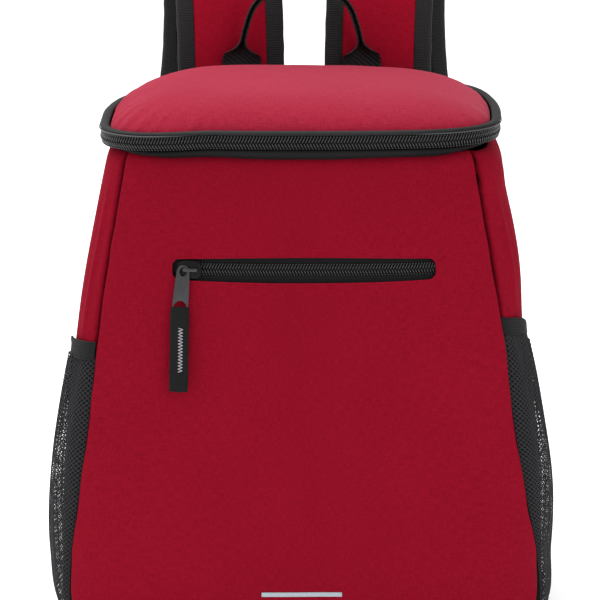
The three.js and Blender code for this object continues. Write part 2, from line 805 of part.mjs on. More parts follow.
function padSection() {
  const edge = strapWidth / 2 - strapCloth - padClearance;
  const open = strapWidth / 2 - strapBinding - seamGap;
  const shoulder = open - padBulge * 1.5;
  return [
    [-edge, padHalf],
    [-open, padHalf],
    [open, padHalf],
    [edge, padHalf],
    [edge, -padHalf],
    [open, -padHalf],
    [shoulder, -padHalf - padBulge],
    [-shoulder, -padHalf - padBulge],
    [-open, -padHalf],
    [-edge, -padHalf],
  ];
}

function faceSection() {
  const half = strapWidth / 2 - strapBinding - seamGap;
  return [
    [-half, padHalf + padClearance],
    [half, padHalf + padClearance],
    [half, strapHalfThickness],
    [-half, strapHalfThickness],
  ];
}

// The tape folded round a strap's edge.
function bindingSection(toward) {
  const edge = (toward * strapWidth) / 2;
  const inner = edge - toward * strapCloth;
  const lip = edge - toward * strapBinding;
  return [
    [lip, padHalf + padClearance],
    [lip, strapHalfThickness],
    [edge, strapHalfThickness],
    [edge, -strapHalfThickness],
    [lip, -strapHalfThickness],
    [lip, -padHalf - padClearance],
    [inner, -padHalf - padClearance],
    [inner, padHalf + padClearance],
  ];
}

// A place on one side of the back panel, by the distance out, the height and how far it stands off.
const backPlace = (side, out, z, off) => facePoint(side.sign * out, z, false, off);

function buckle(side, curve) {
  const end = curve.getPointAt(1);
  const along = curve.getTangentAt(1);
  const level = new THREE.Vector3(1, 0, 0);
  const across = level.addScaledVector(along, -level.dot(along)).normalize();
  const shape = roundedRectangle(buckleWidth, buckleHeight, 3);
  const slotHeight = (buckleHeight - 3 * buckleRail) / 2;
  for (const way of [-1, 1]) {
    const slot = roundedRectangle(buckleWidth - 2 * buckleRail, slotHeight, 1);
    const shift = (way * (slotHeight + buckleRail)) / 2;
    shape.holes.push(new THREE.Path(slot.getPoints(2).map((p) => p.add(new THREE.Vector2(0, shift)))));
  }
  const frame = flatSolid(shape, buckleThickness, 3);
  frame.translate(0, 0, -buckleThickness / 2);
  const mesh = piece("strap_buckle_" + side.name, frame, plasticBlack);
  mesh.matrixAutoUpdate = false;
  mesh.matrix.makeBasis(across, along.clone().negate(), across.clone().cross(along.clone().negate()));
  mesh.matrix.setPosition(end.addScaledVector(along, buckleHeight / 2 + seamGap));
  return mesh;
}

function lowerWebbing(side, curve) {
  const along = curve.getTangentAt(1);
  const level = new THREE.Vector3(1, 0, 0);
  const outwards = level.addScaledVector(along, -level.dot(along)).normalize().cross(along);
  const under = -(buckleThickness / 2 + 3 * seamGap + webbingThickness / 2);
  const start = curve.getPointAt(1).addScaledVector(along, buckleRail).addScaledVector(outwards, under);
  const middle = start.clone().addScaledVector(along, buckleHeight * 0.6);
  const past = start.clone().addScaledVector(along, buckleHeight * 1.3);
  const seat = anchorWall + 3 * seamGap + webbingThickness / 2;
  const half = webbingWidth / 2;
  const thick = webbingThickness / 2;
  const seated = (share, off) =>
    backPlace(side, anchorOut - half, anchorUp + anchorHeight * share, seat + off).setX(
      side.sign * anchorOut,
    );
  const route = [start, middle, past, seated(1.2, webbingThickness), seated(0.7, 0), seated(0.2, 0)];
  return bandAlong(new THREE.CatmullRomCurve3(route), 16, [
    [-half, -thick],
    [half, -thick],
    [half, thick],
    [-half, thick],
  ]);
}

function anchorTab(side) {
  const face = (depth) => (u, v) => {
    const width = mix(anchorWidth, webbingWidth, v);
    return backPlace(side, anchorOut + mix(-0.5, 0.5, u) * width, anchorUp + v * anchorHeight, depth);
  };
  return sheetBody(4, 2, face(seamGap + anchorWall), face(seamGap));
}

function strapParts(side) {
  const curve = strapCurve(side);
  const inner = -side.sign;
  return [
    piece("strap_pad_" + side.name, bandAlong(curve, strapSteps, padSection()), padBlack),
    piece("strap_face_" + side.name, bandAlong(curve, strapSteps, faceSection()), red),
    piece("strap_binding_inner_" + side.name, bandAlong(curve, strapSteps, bindingSection(inner)), black),
    piece("strap_binding_outer_" + side.name, bandAlong(curve, strapSteps, bindingSection(-inner)), black),
    buckle(side, curve),
    piece("strap_webbing_" + side.name, lowerWebbing(side, curve), black),
    piece("strap_anchor_" + side.name, anchorTab(side), black),
  ];
}

// The handle: flat webbing at its ends, which pass behind the lid's zip, folded forward along its middle
// at the grip.
const handleSeat = backReach + tapeProud + seamGap + webbingThickness / 2;

function carryHandle() {
  const half = handleRoute.map(({ across, ahead, up }) => {
    const z = bodyHeight - handleRootDrop + up * handleRise;
    return new THREE.Vector3((across * handleSpan) / 2, handleSeat - ahead * webbingWidth, z);
  });
  const folds = handleRoute.map((row) => row.fold);
  const mirrored = half.slice(0, -1).map((p) => p.clone().setX(-p.x));
  const curve = new THREE.CatmullRomCurve3([...mirrored, ...half.toReversed()]);
  const foldList = [...folds.slice(0, -1), ...folds.toReversed()];
  const foldAt = smoothTable(
    foldList.map((fold, i) => ({ place: i / (foldList.length - 1), fold })),
    "place",
    ["fold"],
  );
  const steps = 32;
  const ahead = new THREE.Vector3(0, -1, 0);
  const leg = webbingWidth / 2;
  const thick = webbingThickness / 2;
  const rings = Array.from({ length: steps + 1 }, (_, i) => {
    const t = i / steps;
    const place = curve.getPoint(t);
    const along = curve.getTangent(t);
    const front = ahead.clone().addScaledVector(along, -ahead.dot(along)).normalize();
    const across = along.clone().cross(front);
    const fold = radians(handleFold) * THREE.MathUtils.clamp(foldAt(t).fold, 0, 1);
    const c = Math.cos(fold);
    const s = Math.sin(fold);
    const section = [
      [-leg * c - thick * s, leg * s - thick * c],
      [0, -thick],
      [leg * c + thick * s, leg * s - thick * c],
      [leg * c - thick * s, leg * s + thick * c],
      [0, thick / c],
      [-leg * c + thick * s, leg * s + thick * c],
    ];
    return section.map(([a, b]) => place.clone().addScaledVector(across, a).addScaledVector(front, b));
  });
  return loftBody(rings);
}

const bag = new THREE.Group();
bag.add(
  piece("front_panel", frontPanel(), red),
  piece("back_panel", backPanel(), padBlack),
  piece("base_panel", basePanel(), black),
  piece("lid_panel", lidPanel(), lidRed),
  piece(
    "lid_tape_lower",
    rimBar(-tapeInside, tapeProud, lowerTapeBottom, lowerTapeTop, around, true),
    black,
  ),
  piece(
    "lid_tape_upper",
    rimBar(-lidInset, tapeProud, upperTapeBottom, upperTapeTop, around, true),
    black,
  ),
  piece("lid_coil", lidCoil(), coilBlack),
  piece("lid_hinge", lidHinge(), black),
  lidSlider(),
  piece("pocket_zip_tape", zipTape(), black),
  piece("pocket_zip_coil", zipCoil(), coilBlack),
  pocketZipParts(),
  piece("reflective_strip", reflectiveStrip(), reflectiveGrey),
  piece("carry_handle", carryHandle(), black),
);
for (const side of sides) {
  bag.add(
    piece("gusset_upper_" + side.name, upperGusset(side), red),
    piece("gusset_lower_" + side.name, lowerGusset(side), black),
    piece("pocket_net_" + side.name, pocketNet(side), netBlack),
    piece("pocket_band_" + side.name, pocketBand(side), black),
    ...strapParts(side),
  );
}

export default bag;
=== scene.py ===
import math

import bmesh
import bpy
from mathutils import Matrix, Vector, noise


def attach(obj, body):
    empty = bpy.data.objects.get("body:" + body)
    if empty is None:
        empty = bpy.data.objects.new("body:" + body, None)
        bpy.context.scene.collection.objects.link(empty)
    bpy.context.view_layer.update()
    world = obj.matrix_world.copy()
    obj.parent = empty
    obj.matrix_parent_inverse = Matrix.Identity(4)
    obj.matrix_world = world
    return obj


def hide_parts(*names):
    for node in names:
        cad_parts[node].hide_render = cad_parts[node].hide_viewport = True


# A red and black cooler backpack. Sizes in the settings are millimetres, and a setting with the keys
# -1 and 1, or left and right, has a value for each side of the bag
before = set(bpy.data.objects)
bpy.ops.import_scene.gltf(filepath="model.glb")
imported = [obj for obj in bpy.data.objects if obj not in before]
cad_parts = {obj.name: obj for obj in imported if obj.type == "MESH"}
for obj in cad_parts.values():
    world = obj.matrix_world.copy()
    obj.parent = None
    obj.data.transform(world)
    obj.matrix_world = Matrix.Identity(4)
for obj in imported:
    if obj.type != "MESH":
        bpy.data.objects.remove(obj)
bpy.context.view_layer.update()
mm = 0.001
sides = {"left": -1, "right": 1}
print("frame loaded")

# Camera, lights and floor
view = {
    "target": (-1.07, -83.0, 218.7),
    "distance": 2000.0,
    "elevation": 15.0,
    "lens": 201.0,
    "farEnd": 60,  # metres
}
studio = {
    "skyStrength": 0.88,
    "aim": (0, 0, 0.25),  # metres, and so are the lights' places and sizes
    "lights": {
        "topLight": {"power": 17.0, "size": 1.0, "place": (-0.6, 0.45, 1.4)},
        "keyLight": {"power": 7.5, "size": 1.0, "place": (1.0, -1.8, 1.1)},
    },
    "floorSize": 14.0,
    "floorColour": (0.92, 0.92, 0.92),
    "floorRoughness": 0.9,
    "floorGlow": 0.4,
}


def link(thing):
    bpy.context.scene.collection.objects.link(thing)
    return thing


def meshFrom(name, bm):
    mesh = bpy.data.meshes.new(name)
    bm.to_mesh(mesh)
    bm.free()
    return mesh


def makeCamera():
    data = bpy.data.cameras.new("camera")
    data.lens = view["lens"]
    data.clip_end = view["farEnd"]
    camera = link(bpy.data.objects.new("camera", data))
    tilt = math.radians(view["elevation"])
    x, y, z = view["target"]
    reach = view["distance"]
    camera.location = Vector((x, y - reach * math.cos(tilt), z + reach * math.sin(tilt))) * mm
    camera.rotation_euler = (math.radians(90) - tilt, 0, 0)
    bpy.context.scene.camera = camera


def areaLight(name, power, size, place):
    data = bpy.data.lights.new(name, "AREA")
    data.energy = power
    data.size = size
    light = link(bpy.data.objects.new(name, data))
    light.location = place
    towards = Vector(studio["aim"]) - Vector(place)
    light.rotation_euler = towards.to_track_quat("-Z", "Y").to_euler()


def makeSky():
    scene = bpy.context.scene
    scene.view_settings.view_transform = "Standard"
    world = bpy.data.worlds.new("studio")
    world.use_nodes = True
    sky = world.node_tree.nodes["Background"]
    sky.inputs["Color"].default_value = (1, 1, 1, 1)
    sky.inputs["Strength"].default_value = studio["skyStrength"]
    scene.world = world


def makeFloor():
    bm = bmesh.new()
    bmesh.ops.create_grid(bm, x_segments=8, y_segments=8, size=studio["floorSize"] / 2)
    mesh = meshFrom("floor", bm)
    floor = link(bpy.data.objects.new("floor", mesh))
    paint = bpy.data.materials.new("paleFloor")
    paint.use_nodes = True
    shader = paint.node_tree.nodes["Principled BSDF"]
    shader.inputs["Base Color"].default_value = (*studio["floorColour"], 1)
    shader.inputs["Roughness"].default_value = studio["floorRoughness"]
    shader.inputs["Emission Color"].default_value = (1, 1, 1, 1)
    shader.inputs["Emission Strength"].default_value = studio["floorGlow"]
    mesh.materials.append(paint)


makeCamera()
makeSky()
for name, lamp in studio["lights"].items():
    areaLight(name, **lamp)
makeFloor()
print("camera, lights and floor made")


# Materials. Every cloth has a UV map, weave: x across the piece and y along it. It may have an
# attribute, fold, that paints light and shade into its colour: above 0 for a painted highlight along a
# hem, below 0 for painted shade in a seam, a groove or a corner
weaveUnit = 100  # millimetres to one unit of the weave
wavesPerUnit = 20 / (2 * math.pi)  # of a wave texture of scale 1


def addNode(tree, kind, inputs=None, **settings):
    node = tree.nodes.new(kind)
    for key, value in settings.items():
        setattr(node, key, value)
    for key, value in (inputs or {}).items():
        node.inputs[key].default_value = value
    return node


def calc(tree, operation, first, second):  # of two numbers or outputs
    node = addNode(tree, "ShaderNodeMath", operation=operation)
    for socket, value in zip(node.inputs, (first, second)):
        if isinstance(value, (int, float)):
            socket.default_value = value
        else:
            tree.links.new(value, socket)
    return node.outputs[0]


def plus(tree, first, second):
    return calc(tree, "ADD", first, second)


def times(tree, first, second):
    return calc(tree, "MULTIPLY", first, second)


def centred(tree, source):
    return calc(tree, "SUBTRACT", source, 0.5)


def startMaterial(name, look):
    material = bpy.data.materials.new(name)
    material.use_nodes = True
    tree = material.node_tree
    shader = tree.nodes["Principled BSDF"]
    shader.inputs["Roughness"].default_value = look["roughness"]
    shader.inputs["Metallic"].default_value = look.get("metallic", 0)
    shader.inputs["Specular IOR Level"].default_value = look.get("specular", 0.5)
    shader.inputs["Sheen Weight"].default_value = look.get("sheen", 0)
    shader.inputs["Sheen Roughness"].default_value = look.get("sheenRoughness", 0.5)
    shader.inputs["Sheen Tint"].default_value = (*look.get("sheenTint", (1, 1, 1)), 1)
    return material, tree, shader


# The colour runs from dark to light with shade, times the gain of painted light, and height goes to the
# bump
def finishMaterial(tree, shader, look, shade, height, gain=None):
    ramp = addNode(tree, "ShaderNodeMix", data_type="RGBA")
    ramp.inputs["A"].default_value = (*look["dark"], 1)
    ramp.inputs["B"].default_value = (*look["light"], 1)
    tree.links.new(shade, ramp.inputs["Factor"])
    tree.links.new(ramp.outputs["Result"], shader.inputs["Base Color"])
    if gain:
        scaled = addNode(tree, "ShaderNodeVectorMath", operation="SCALE")
        tree.links.new(ramp.outputs["Result"], scaled.inputs["Vector"])
        tree.links.new(gain, scaled.inputs["Scale"])
        tree.links.new(scaled.outputs["Vector"], shader.inputs["Base Color"])
    bump = addNode(tree, "ShaderNodeBump", {"Strength": look["bump"], "Distance": look["relief"] * mm})
    tree.links.new(height, bump.inputs["Height"])
    tree.links.new(bump.outputs["Normal"], shader.inputs["Normal"])


def weaveMap(tree):
    return addNode(tree, "ShaderNodeUVMap", uv_map="weave").outputs["UV"]


# Painted light and shade: the colour is scaled by 1 plus the attribute fold
def paintedLightGain(tree):
    return plus(tree, addNode(tree, "ShaderNodeAttribute", attribute_name="fold").outputs["Fac"], 1)


def bands(tree, source, direction, pitch):
    wave = addNode(
        tree, "ShaderNodeTexWave", {"Scale": weaveUnit / pitch / wavesPerUnit},
        wave_type="BANDS", bands_direction=direction,
    )
    tree.links.new(source, wave.inputs["Vector"])
    return wave.outputs["Fac"]


def speckle(tree, source, size, detail=2.0, stretch=(1, 1, 1)):
    place = addNode(tree, "ShaderNodeMapping", {"Scale": stretch})
    spots = addNode(tree, "ShaderNodeTexNoise", {"Scale": weaveUnit / size, "Detail": detail})
    tree.links.new(source, place.inputs["Vector"])
    tree.links.new(place.outputs["Vector"], spots.inputs["Vector"])
    return spots.outputs["Fac"]


grainShares = {
    "fine": 0.2, "threads": 0.4, "blotch": 0.12, "relief": 0.8, "knuckles": 4,
    "slubStretch": (0.2, 1.3, 1), "endStretch": (1.3, 0.25, 1),
}


def wovenCloth(name, look):
    material, tree, shader = startMaterial(name, look)
    weave = weaveMap(tree)
    warp = centred(tree, bands(tree, weave, "X", look["thread"] * 2))
    weft = centred(tree, bands(tree, weave, "Y", look["thread"] * 2))
    crossing = times(tree, warp, weft)
    knuckles = times(tree, calc(tree, "ABSOLUTE", crossing, 0), grainShares["knuckles"])
    fine = speckle(tree, weave, look["speckle"])
    slubs = speckle(tree, weave, look["speckle"], 1.0, grainShares["slubStretch"])
    ends = speckle(tree, weave, look["speckle"], 1.0, grainShares["endStretch"])
    broad = speckle(tree, weave, look["blotch"], 1.0)
    threads = times(tree, plus(tree, slubs, ends), grainShares["threads"])
    grain = plus(tree, times(tree, fine, grainShares["fine"]), threads)
    grain = plus(tree, times(tree, centred(tree, grain), look["contrast"]), 0.5)
    shade = plus(tree, times(tree, crossing, look["threadContrast"]), grain)
    shade = plus(tree, shade, times(tree, centred(tree, broad), grainShares["blotch"]))
    height = plus(tree, knuckles, times(tree, grain, grainShares["relief"]))
    finishMaterial(tree, shader, look, shade, height, paintedLightGain(tree))
    return material


ribShares = {"shade": 0.6, "speckle": 0.5, "relief": 0.4}


def ribbedCloth(name, look):
    material, tree, shader = startMaterial(name, look)
    weave = weaveMap(tree)
    across = bands(tree, weave, look.get("acrossDirection", "X"), look["acrossPitch"])
    along = bands(tree, weave, "Y", look["alongPitch"])
    ribs = plus(tree, times(tree, across, look["acrossDepth"]), times(tree, along, look["alongDepth"]))
    fine = speckle(tree, weave, look["speckle"])
    shade = plus(tree, times(tree, ribs, ribShares["shade"]), times(tree, fine, ribShares["speckle"]))
    height = plus(tree, ribs, times(tree, fine, ribShares["relief"]))
    finishMaterial(tree, shader, look, shade, height, paintedLightGain(tree))
    return material


holeShares = {"edge": 0.18, "wall": 0.5, "uneven": 0.15, "lightest": 0.3}


def spacerMesh(name, look):
    material, tree, shader = startMaterial(name, look)
    weave = weaveMap(tree)
    holes = addNode(
        tree, "ShaderNodeTexVoronoi",
        {"Scale": weaveUnit / look["holePitch"], "Randomness": holeShares["uneven"]},
        voronoi_dimensions="2D", feature="F1",
    )
    tree.links.new(weave, holes.inputs["Vector"])
    wall = addNode(
        tree, "ShaderNodeMapRange", {"From Min": holeShares["edge"], "From Max": holeShares["wall"]},
        interpolation_type="SMOOTHSTEP",
    )
    tree.links.new(holes.outputs["Distance"], wall.inputs["Value"])
    fine = speckle(tree, weave, look["speckle"])
    shade = times(tree, wall.outputs["Result"], plus(tree, fine, holeShares["lightest"]))
    finishMaterial(tree, shader, look, shade, wall.outputs["Result"])
    return material


def plainMaterial(name, look):  # plastic, metal and thread, on Object coordinates
    material, tree, shader = startMaterial(name, look)
    place = addNode(tree, "ShaderNodeTexCoord").outputs["Object"]
    grain = addNode(tree, "ShaderNodeTexNoise", {"Scale": 1 / mm / look["speckle"], "Detail": 3.0})
    tree.links.new(place, grain.inputs["Vector"])
    finishMaterial(tree, shader, look, grain.outputs["Fac"], grain.outputs["Fac"])
    if "roughnessSpread" in look:
        low = look["roughness"] - look["roughnessSpread"]
        high = look["roughness"] + look["roughnessSpread"]
        spread = addNode(tree, "ShaderNodeMapRange", {"To Min": low, "To Max": high})
        tree.links.new(grain.outputs["Fac"], spread.inputs["Value"])
        tree.links.new(spread.outputs["Result"], shader.inputs["Roughness"])
    return material


makers = {"woven": wovenCloth, "ribbed": ribbedCloth, "spacer": spacerMesh, "plain": plainMaterial}
weaveLook = {"kind": "woven", "thread": 0.55, "threadContrast": 0.5, "blotch": 60}
redLook = {
    **weaveLook, "roughness": 0.95, "specular": 0.03, "sheen": 0.02, "sheenRoughness": 0.4,
    "sheenTint": (1.0, 0.3, 0.5), "contrast": 1.15, "speckle": 1.0, "bump": 0.45, "relief": 0.14,
}
grosgrainLook = {
    "kind": "ribbed", "acrossPitch": 0.7, "acrossDepth": 0.25, "alongPitch": 1.15, "alongDepth": 0.9,
    "speckle": 0.8, "bump": 1.0,
}
tapeLook = {
    "kind": "ribbed", "acrossPitch": 0.9, "acrossDepth": 0.6, "alongPitch": 0.6, "alongDepth": 0.4,
    "roughness": 0.65, "speckle": 0.7, "bump": 0.7, "relief": 0.18,
}
looks = {
    "redCloth": {**redLook, "dark": (0.12, 0.0013, 0.006), "light": (0.325, 0.0065, 0.0235)},
    # A lit copy of the red cloth for the straps: its lighter colour is painted light
    "strapCloth": {**redLook, "dark": (0.157, 0.0018, 0.0078), "light": (0.428, 0.0083, 0.03)},
    # A lit copy of the red cloth for the lid: its lighter, pinker colour is painted light from above
    "lidCloth": {
        **redLook, "dark": (0.17, 0.002, 0.012), "light": (0.46, 0.025, 0.056), "roughness": 0.9,
        "sheen": 0.14, "sheenRoughness": 0.5, "sheenTint": (1.0, 0.5, 0.66),
        "contrast": 1.1, "speckle": 1.1, "bump": 0.4,
    },
    "blackCloth": {
        **weaveLook, "dark": (0.006, 0.006, 0.0065), "light": (0.018, 0.018, 0.019),
        "roughness": 0.75, "specular": 0.15, "contrast": 2.0, "speckle": 1.5, "bump": 0.5, "relief": 0.12,
    },
    "spacerMesh": {
        "kind": "spacer", "dark": (0.004, 0.004, 0.0045), "light": (0.022, 0.022, 0.024),
        "roughness": 0.85, "specular": 0.15, "holePitch": 2.4, "speckle": 0.9, "bump": 0.8, "relief": 0.5,
    },
    "grosgrain": {
        **grosgrainLook, "dark": (0.006, 0.006, 0.0065), "light": (0.026, 0.026, 0.028),
        "roughness": 0.72, "specular": 0.2, "relief": 0.3,
    },
    "pullWebbing": {
        **grosgrainLook, "dark": (0.001, 0.001, 0.0015), "light": (0.016, 0.016, 0.017),
        "roughness": 0.75, "specular": 0.12, "relief": 0.35,
    },
    "webbing": {
        "kind": "ribbed", "dark": (0.004, 0.004, 0.0045), "light": (0.02, 0.02, 0.022),
        "roughness": 0.7, "specular": 0.2, "acrossPitch": 1.3, "acrossDepth": 0.9,
        "alongPitch": 0.9, "alongDepth": 0.35, "speckle": 0.8, "bump": 1.0, "relief": 0.3,
    },
    "elastic": {
        "kind": "ribbed", "dark": (0.004, 0.004, 0.0045), "light": (0.018, 0.018, 0.0195),
        "roughness": 0.75, "specular": 0.13, "acrossPitch": 1.25, "acrossDepth": 0.85,
        "alongPitch": 0.7, "alongDepth": 0.3, "speckle": 0.8, "bump": 1.0, "relief": 0.3,
    },
    "zipTape": {
        **tapeLook, "dark": (0.004, 0.004, 0.0045), "light": (0.012, 0.012, 0.013), "specular": 0.13,
    },
    # A lit copy of the zip tape for the upper tape, which faces up: its lighter colour is painted light
    "ledgeTape": {
        **tapeLook, "dark": (0.006, 0.006, 0.0065), "light": (0.021, 0.021, 0.0225), "specular": 0.25,
    },
    "twill": {
        "kind": "ribbed", "dark": (0.004, 0.004, 0.0045), "light": (0.026, 0.026, 0.028),
        "roughness": 0.7, "specular": 0.2, "acrossDirection": "DIAGONAL", "acrossPitch": 2.0,
        "acrossDepth": 0.9, "alongPitch": 0.9, "alongDepth": 0.3, "speckle": 0.8, "bump": 1.0,
        "relief": 0.35,
    },
    "zipCoil": {
        "kind": "plain", "dark": (0.004, 0.004, 0.0045), "light": (0.009, 0.009, 0.0095),
        "roughness": 0.26, "specular": 0.6, "speckle": 3.0, "bump": 0.1, "relief": 0.02,
    },
    "netThread": {
        "kind": "plain", "dark": (0.016, 0.016, 0.0175), "light": (0.045, 0.045, 0.049),
        "roughness": 0.8, "specular": 0.08, "speckle": 0.6, "bump": 0.4, "relief": 0.08,
    },
    "blackPlastic": {
        "kind": "plain", "dark": (0.007, 0.007, 0.0075), "light": (0.012, 0.012, 0.013),
        "roughness": 0.42, "roughnessSpread": 0.05, "specular": 0.45, "speckle": 0.5, "bump": 0.15,
        "relief": 0.03,
    },
    # The cord's pale colour is a painted highlight along the rim's edge
    "pipingCord": {
        "kind": "plain", "dark": (0.02, 0.02, 0.0215), "light": (0.045, 0.045, 0.0475),
        "roughness": 0.45, "specular": 0.5, "speckle": 0.5, "bump": 0.2, "relief": 0.03,
    },
    "darkMetal": {
        "kind": "plain", "dark": (0.045, 0.045, 0.048), "light": (0.075, 0.075, 0.078),
        "roughness": 0.4, "roughnessSpread": 0.08, "metallic": 0.85, "speckle": 1.2, "bump": 0.08,
        "relief": 0.02,
    },
    "sliderMetal": {
        "kind": "plain", "dark": (0.002, 0.002, 0.0025), "light": (0.005, 0.005, 0.0055),
        "roughness": 0.3, "roughnessSpread": 0.05, "specular": 0.16, "speckle": 1.2, "bump": 0.08,
        "relief": 0.02,
    },
    "bailMetal": {
        "kind": "plain", "dark": (0.03, 0.03, 0.032), "light": (0.06, 0.06, 0.063), "roughness": 0.25,
        "metallic": 0.6, "specular": 0.6, "speckle": 1.2, "bump": 0.05, "relief": 0.02,
    },
    "reflective": {
        "kind": "plain", "dark": (0.31, 0.36, 0.4), "light": (0.42, 0.48, 0.53), "roughness": 0.35,
        "specular": 0.3, "speckle": 0.5, "bump": 0.2, "relief": 0.03,
    },
    "blackThread": {
        "kind": "plain", "dark": (0.008, 0.008, 0.009), "light": (0.03, 0.03, 0.032),
        "roughness": 0.5, "speckle": 0.3, "bump": 0.3, "relief": 0.04,
    },
    "paleThread": {
        "kind": "plain", "dark": (0.28, 0.26, 0.28), "light": (0.48, 0.45, 0.48),
        "roughness": 0.6, "speckle": 0.4, "bump": 0.3, "relief": 0.04,
    },
}
paints = {name: makers[look["kind"]](name, look) for name, look in looks.items()}
print("materials made")


# Numbers and smooth lines
def mix(a, b, share):
    return a + (b - a) * share


def smoothStep(low, high, value):
    share = min(max((value - low) / (high - low), 0), 1)
    return share * share * (3 - 2 * share)


def hump(value, middle, spread):
    return math.exp(-(((value - middle) / spread) ** 2))


def ripple(x, y, seed):
    return noise.noise(Vector((x, y, seed)))


# From low to high in a smooth line that leaves and arrives at the slopes given
def curve(low, high, leave, arrive, share):
    square, cube = share * share, share ** 3
    return (
        low * (2 * cube - 3 * square + 1) + high * (3 * square - 2 * cube)
        + leave * (cube - 2 * square + share) + arrive * (cube - square)
    )


# The other columns of a table at a place along its first one, smoothly between the rows
def readTable(rows, place):
    i = 0
    while i < len(rows) - 2 and place > rows[i + 1][0]:
        i += 1
    low, high = rows[i], rows[i + 1]
    gap = high[0] - low[0]
    found = []
    for column in range(1, len(low)):
        rise = high[column] - low[column]
        leave = arrive = rise
        if i > 0:
            last = rows[i - 1]
            leave = (rise + gap * (low[column] - last[column]) / (low[0] - last[0])) / 2
        if i < len(rows) - 2:
            following = rows[i + 2]
            arrive = (rise + gap * (following[column] - high[column]) / (following[0] - high[0])) / 2
        found.append(curve(low[column], high[column], leave, arrive, (place - low[0]) / gap))
    return found


# A line through points of four values. It gives, by the share of the way along it, the place, the
# direction and the fourth value
def routeThrough(points, perSpan=24):
    ends = [points[0] * 2 - points[1], *points, points[-1] * 2 - points[-2]]
    fine = []
    for a, b, c, d in zip(ends, ends[1:], ends[2:], ends[3:]):
        before, here, after = ((q.xyz - p.xyz).length ** 0.5 for p, q in ((a, b), (b, c), (c, d)))
        leave = ((b - a) / before - (c - a) / (before + here) + (c - b) / here) * here
        arrive = ((c - b) / here - (d - b) / (here + after) + (d - c) / after) * here
        fine += [curve(b, c, leave, arrive, i / perSpan) for i in range(perSpan)]
    fine.append(points[-1])
    lengths = [0.0]
    for p, q in zip(fine, fine[1:]):
        lengths.append(lengths[-1] + (q.xyz - p.xyz).length)

    def spotAt(t):
        distance = min(max(t, 0), 1) * lengths[-1]
        low, high = 0, len(lengths) - 1
        while high - low > 1:
            half = (low + high) // 2
            if lengths[half] > distance:
                high = half
            else:
                low = half
        share = (distance - lengths[low]) / (lengths[high] - lengths[low])
        return fine[low] * (1 - share) + fine[high] * share

    def at(t):
        spot = spotAt(t)
        along = (spotAt(t + 0.004).xyz - spotAt(t - 0.004).xyz).normalized()
        return spot.xyz, along, spot.w

    return at


# Meshes. A grid's u and v run from 0 to 1, and place says where each point goes. Bunched columns lie
# closer at the sides, and tint gives the attribute fold, its painted highlight and shade
def shapedGrid(columns, rows, place, size, closes=False, bunched=0.0, tint=None):
    bm = bmesh.new()
    bmesh.ops.create_grid(bm, x_segments=columns, y_segments=rows, size=0.5)
    for vert in bm.verts:
        vert.co.x += bunched * math.sin(2 * math.pi * vert.co.x) / (2 * math.pi)
    weave = bm.loops.layers.uv.new("weave")
    for face in bm.faces:
        for corner in face.loops:
            u, v = corner.vert.co.x + 0.5, corner.vert.co.y + 0.5
            corner[weave].uv = (u * size[0] / weaveUnit, v * size[1] / weaveUnit)
    if tint:
        fold = bm.verts.layers.float.new("fold")
        for vert in bm.verts:
            vert[fold] = tint(vert.co.x + 0.5, vert.co.y + 0.5)
    for vert in bm.verts:
        vert.co = place(vert.co.x + 0.5, vert.co.y + 0.5) * mm
    if closes:
        bmesh.ops.remove_doubles(bm, verts=bm.verts, dist=0.001 * mm)
    bm.normal_update()
    return bm


# A cube cut into a lattice: x across, y along and z through, each from -0.5 to 0.5
def shapedBlock(cuts, place, size):
    bm = bmesh.new()
    bmesh.ops.create_cube(bm, size=1)
    for axis, count in enumerate(cuts):
        whole = [e for e in bm.edges if abs(e.verts[0].co[axis] - e.verts[1].co[axis]) > 0.5]
        if count:
            bmesh.ops.subdivide_edges(bm, edges=whole, cuts=count, use_grid_fill=True)
    bm.normal_update()
    weave = bm.loops.layers.uv.new("weave")
    for face in bm.faces:
        normal = [abs(value) for value in face.normal]
        flat = [axis for axis in range(3) if axis != normal.index(max(normal))]
        for corner in face.loops:
            corner[weave].uv = [(corner.vert.co[axis] + 0.5) * size[axis] / weaveUnit for axis in flat]
    for vert in bm.verts:
        vert.co = place(*vert.co) * mm
    return pointOut(bm)


def pointOut(bm):
    bmesh.ops.recalc_face_normals(bm, faces=bm.faces)
    return bm


def faceOutwards(bm, middle):  # for an open sheet, away from a point inside the bag
    centre = Vector(middle) * mm
    lean = sum(f.calc_area() * f.normal.dot(f.calc_center_median() - centre) for f in bm.faces)
    if lean < 0:
        bmesh.ops.reverse_faces(bm, faces=bm.faces)
    return bm


def closeEnds(bm, around):
    bmesh.ops.holes_fill(bm, edges=[e for e in bm.edges if e.is_boundary], sides=around)
    return pointOut(bm)


def turnWeave(bm):  # so that its x runs along the grid's v
    weave = bm.loops.layers.uv["weave"]
    for face in bm.faces:
        for corner in face.loops:
            corner[weave].uv = corner[weave].uv.yx
    return bm


def straightWeave(bm):  # one weave over the whole piece, as seen from above
    weave = bm.loops.layers.uv["weave"]
    for face in bm.faces:
        for corner in face.loops:
            spot = corner.vert.co / mm
            corner[weave].uv = ((spot.x + 150) / weaveUnit, (spot.y + 100) / weaveUnit)
    return bm


def raisePlate(bm, thickness):
    made = bmesh.ops.extrude_face_region(bm, geom=bm.faces[:], use_keep_orig=True)["geom"]
    top = [g for g in made if isinstance(g, bmesh.types.BMVert)]
    bmesh.ops.translate(bm, verts=top, vec=(0, 0, thickness * mm))
    return pointOut(bm)


def roundEdges(bm, edges, radius, segments):
    bmesh.ops.bevel(
        bm, geom=edges, offset=radius * mm, segments=segments, profile=0.5, affect="EDGES", material=-1,
    )


def sharpEdges(bm, angle):
    return [e for e in bm.edges if len(e.link_faces) == 2 and e.calc_face_angle() > angle]


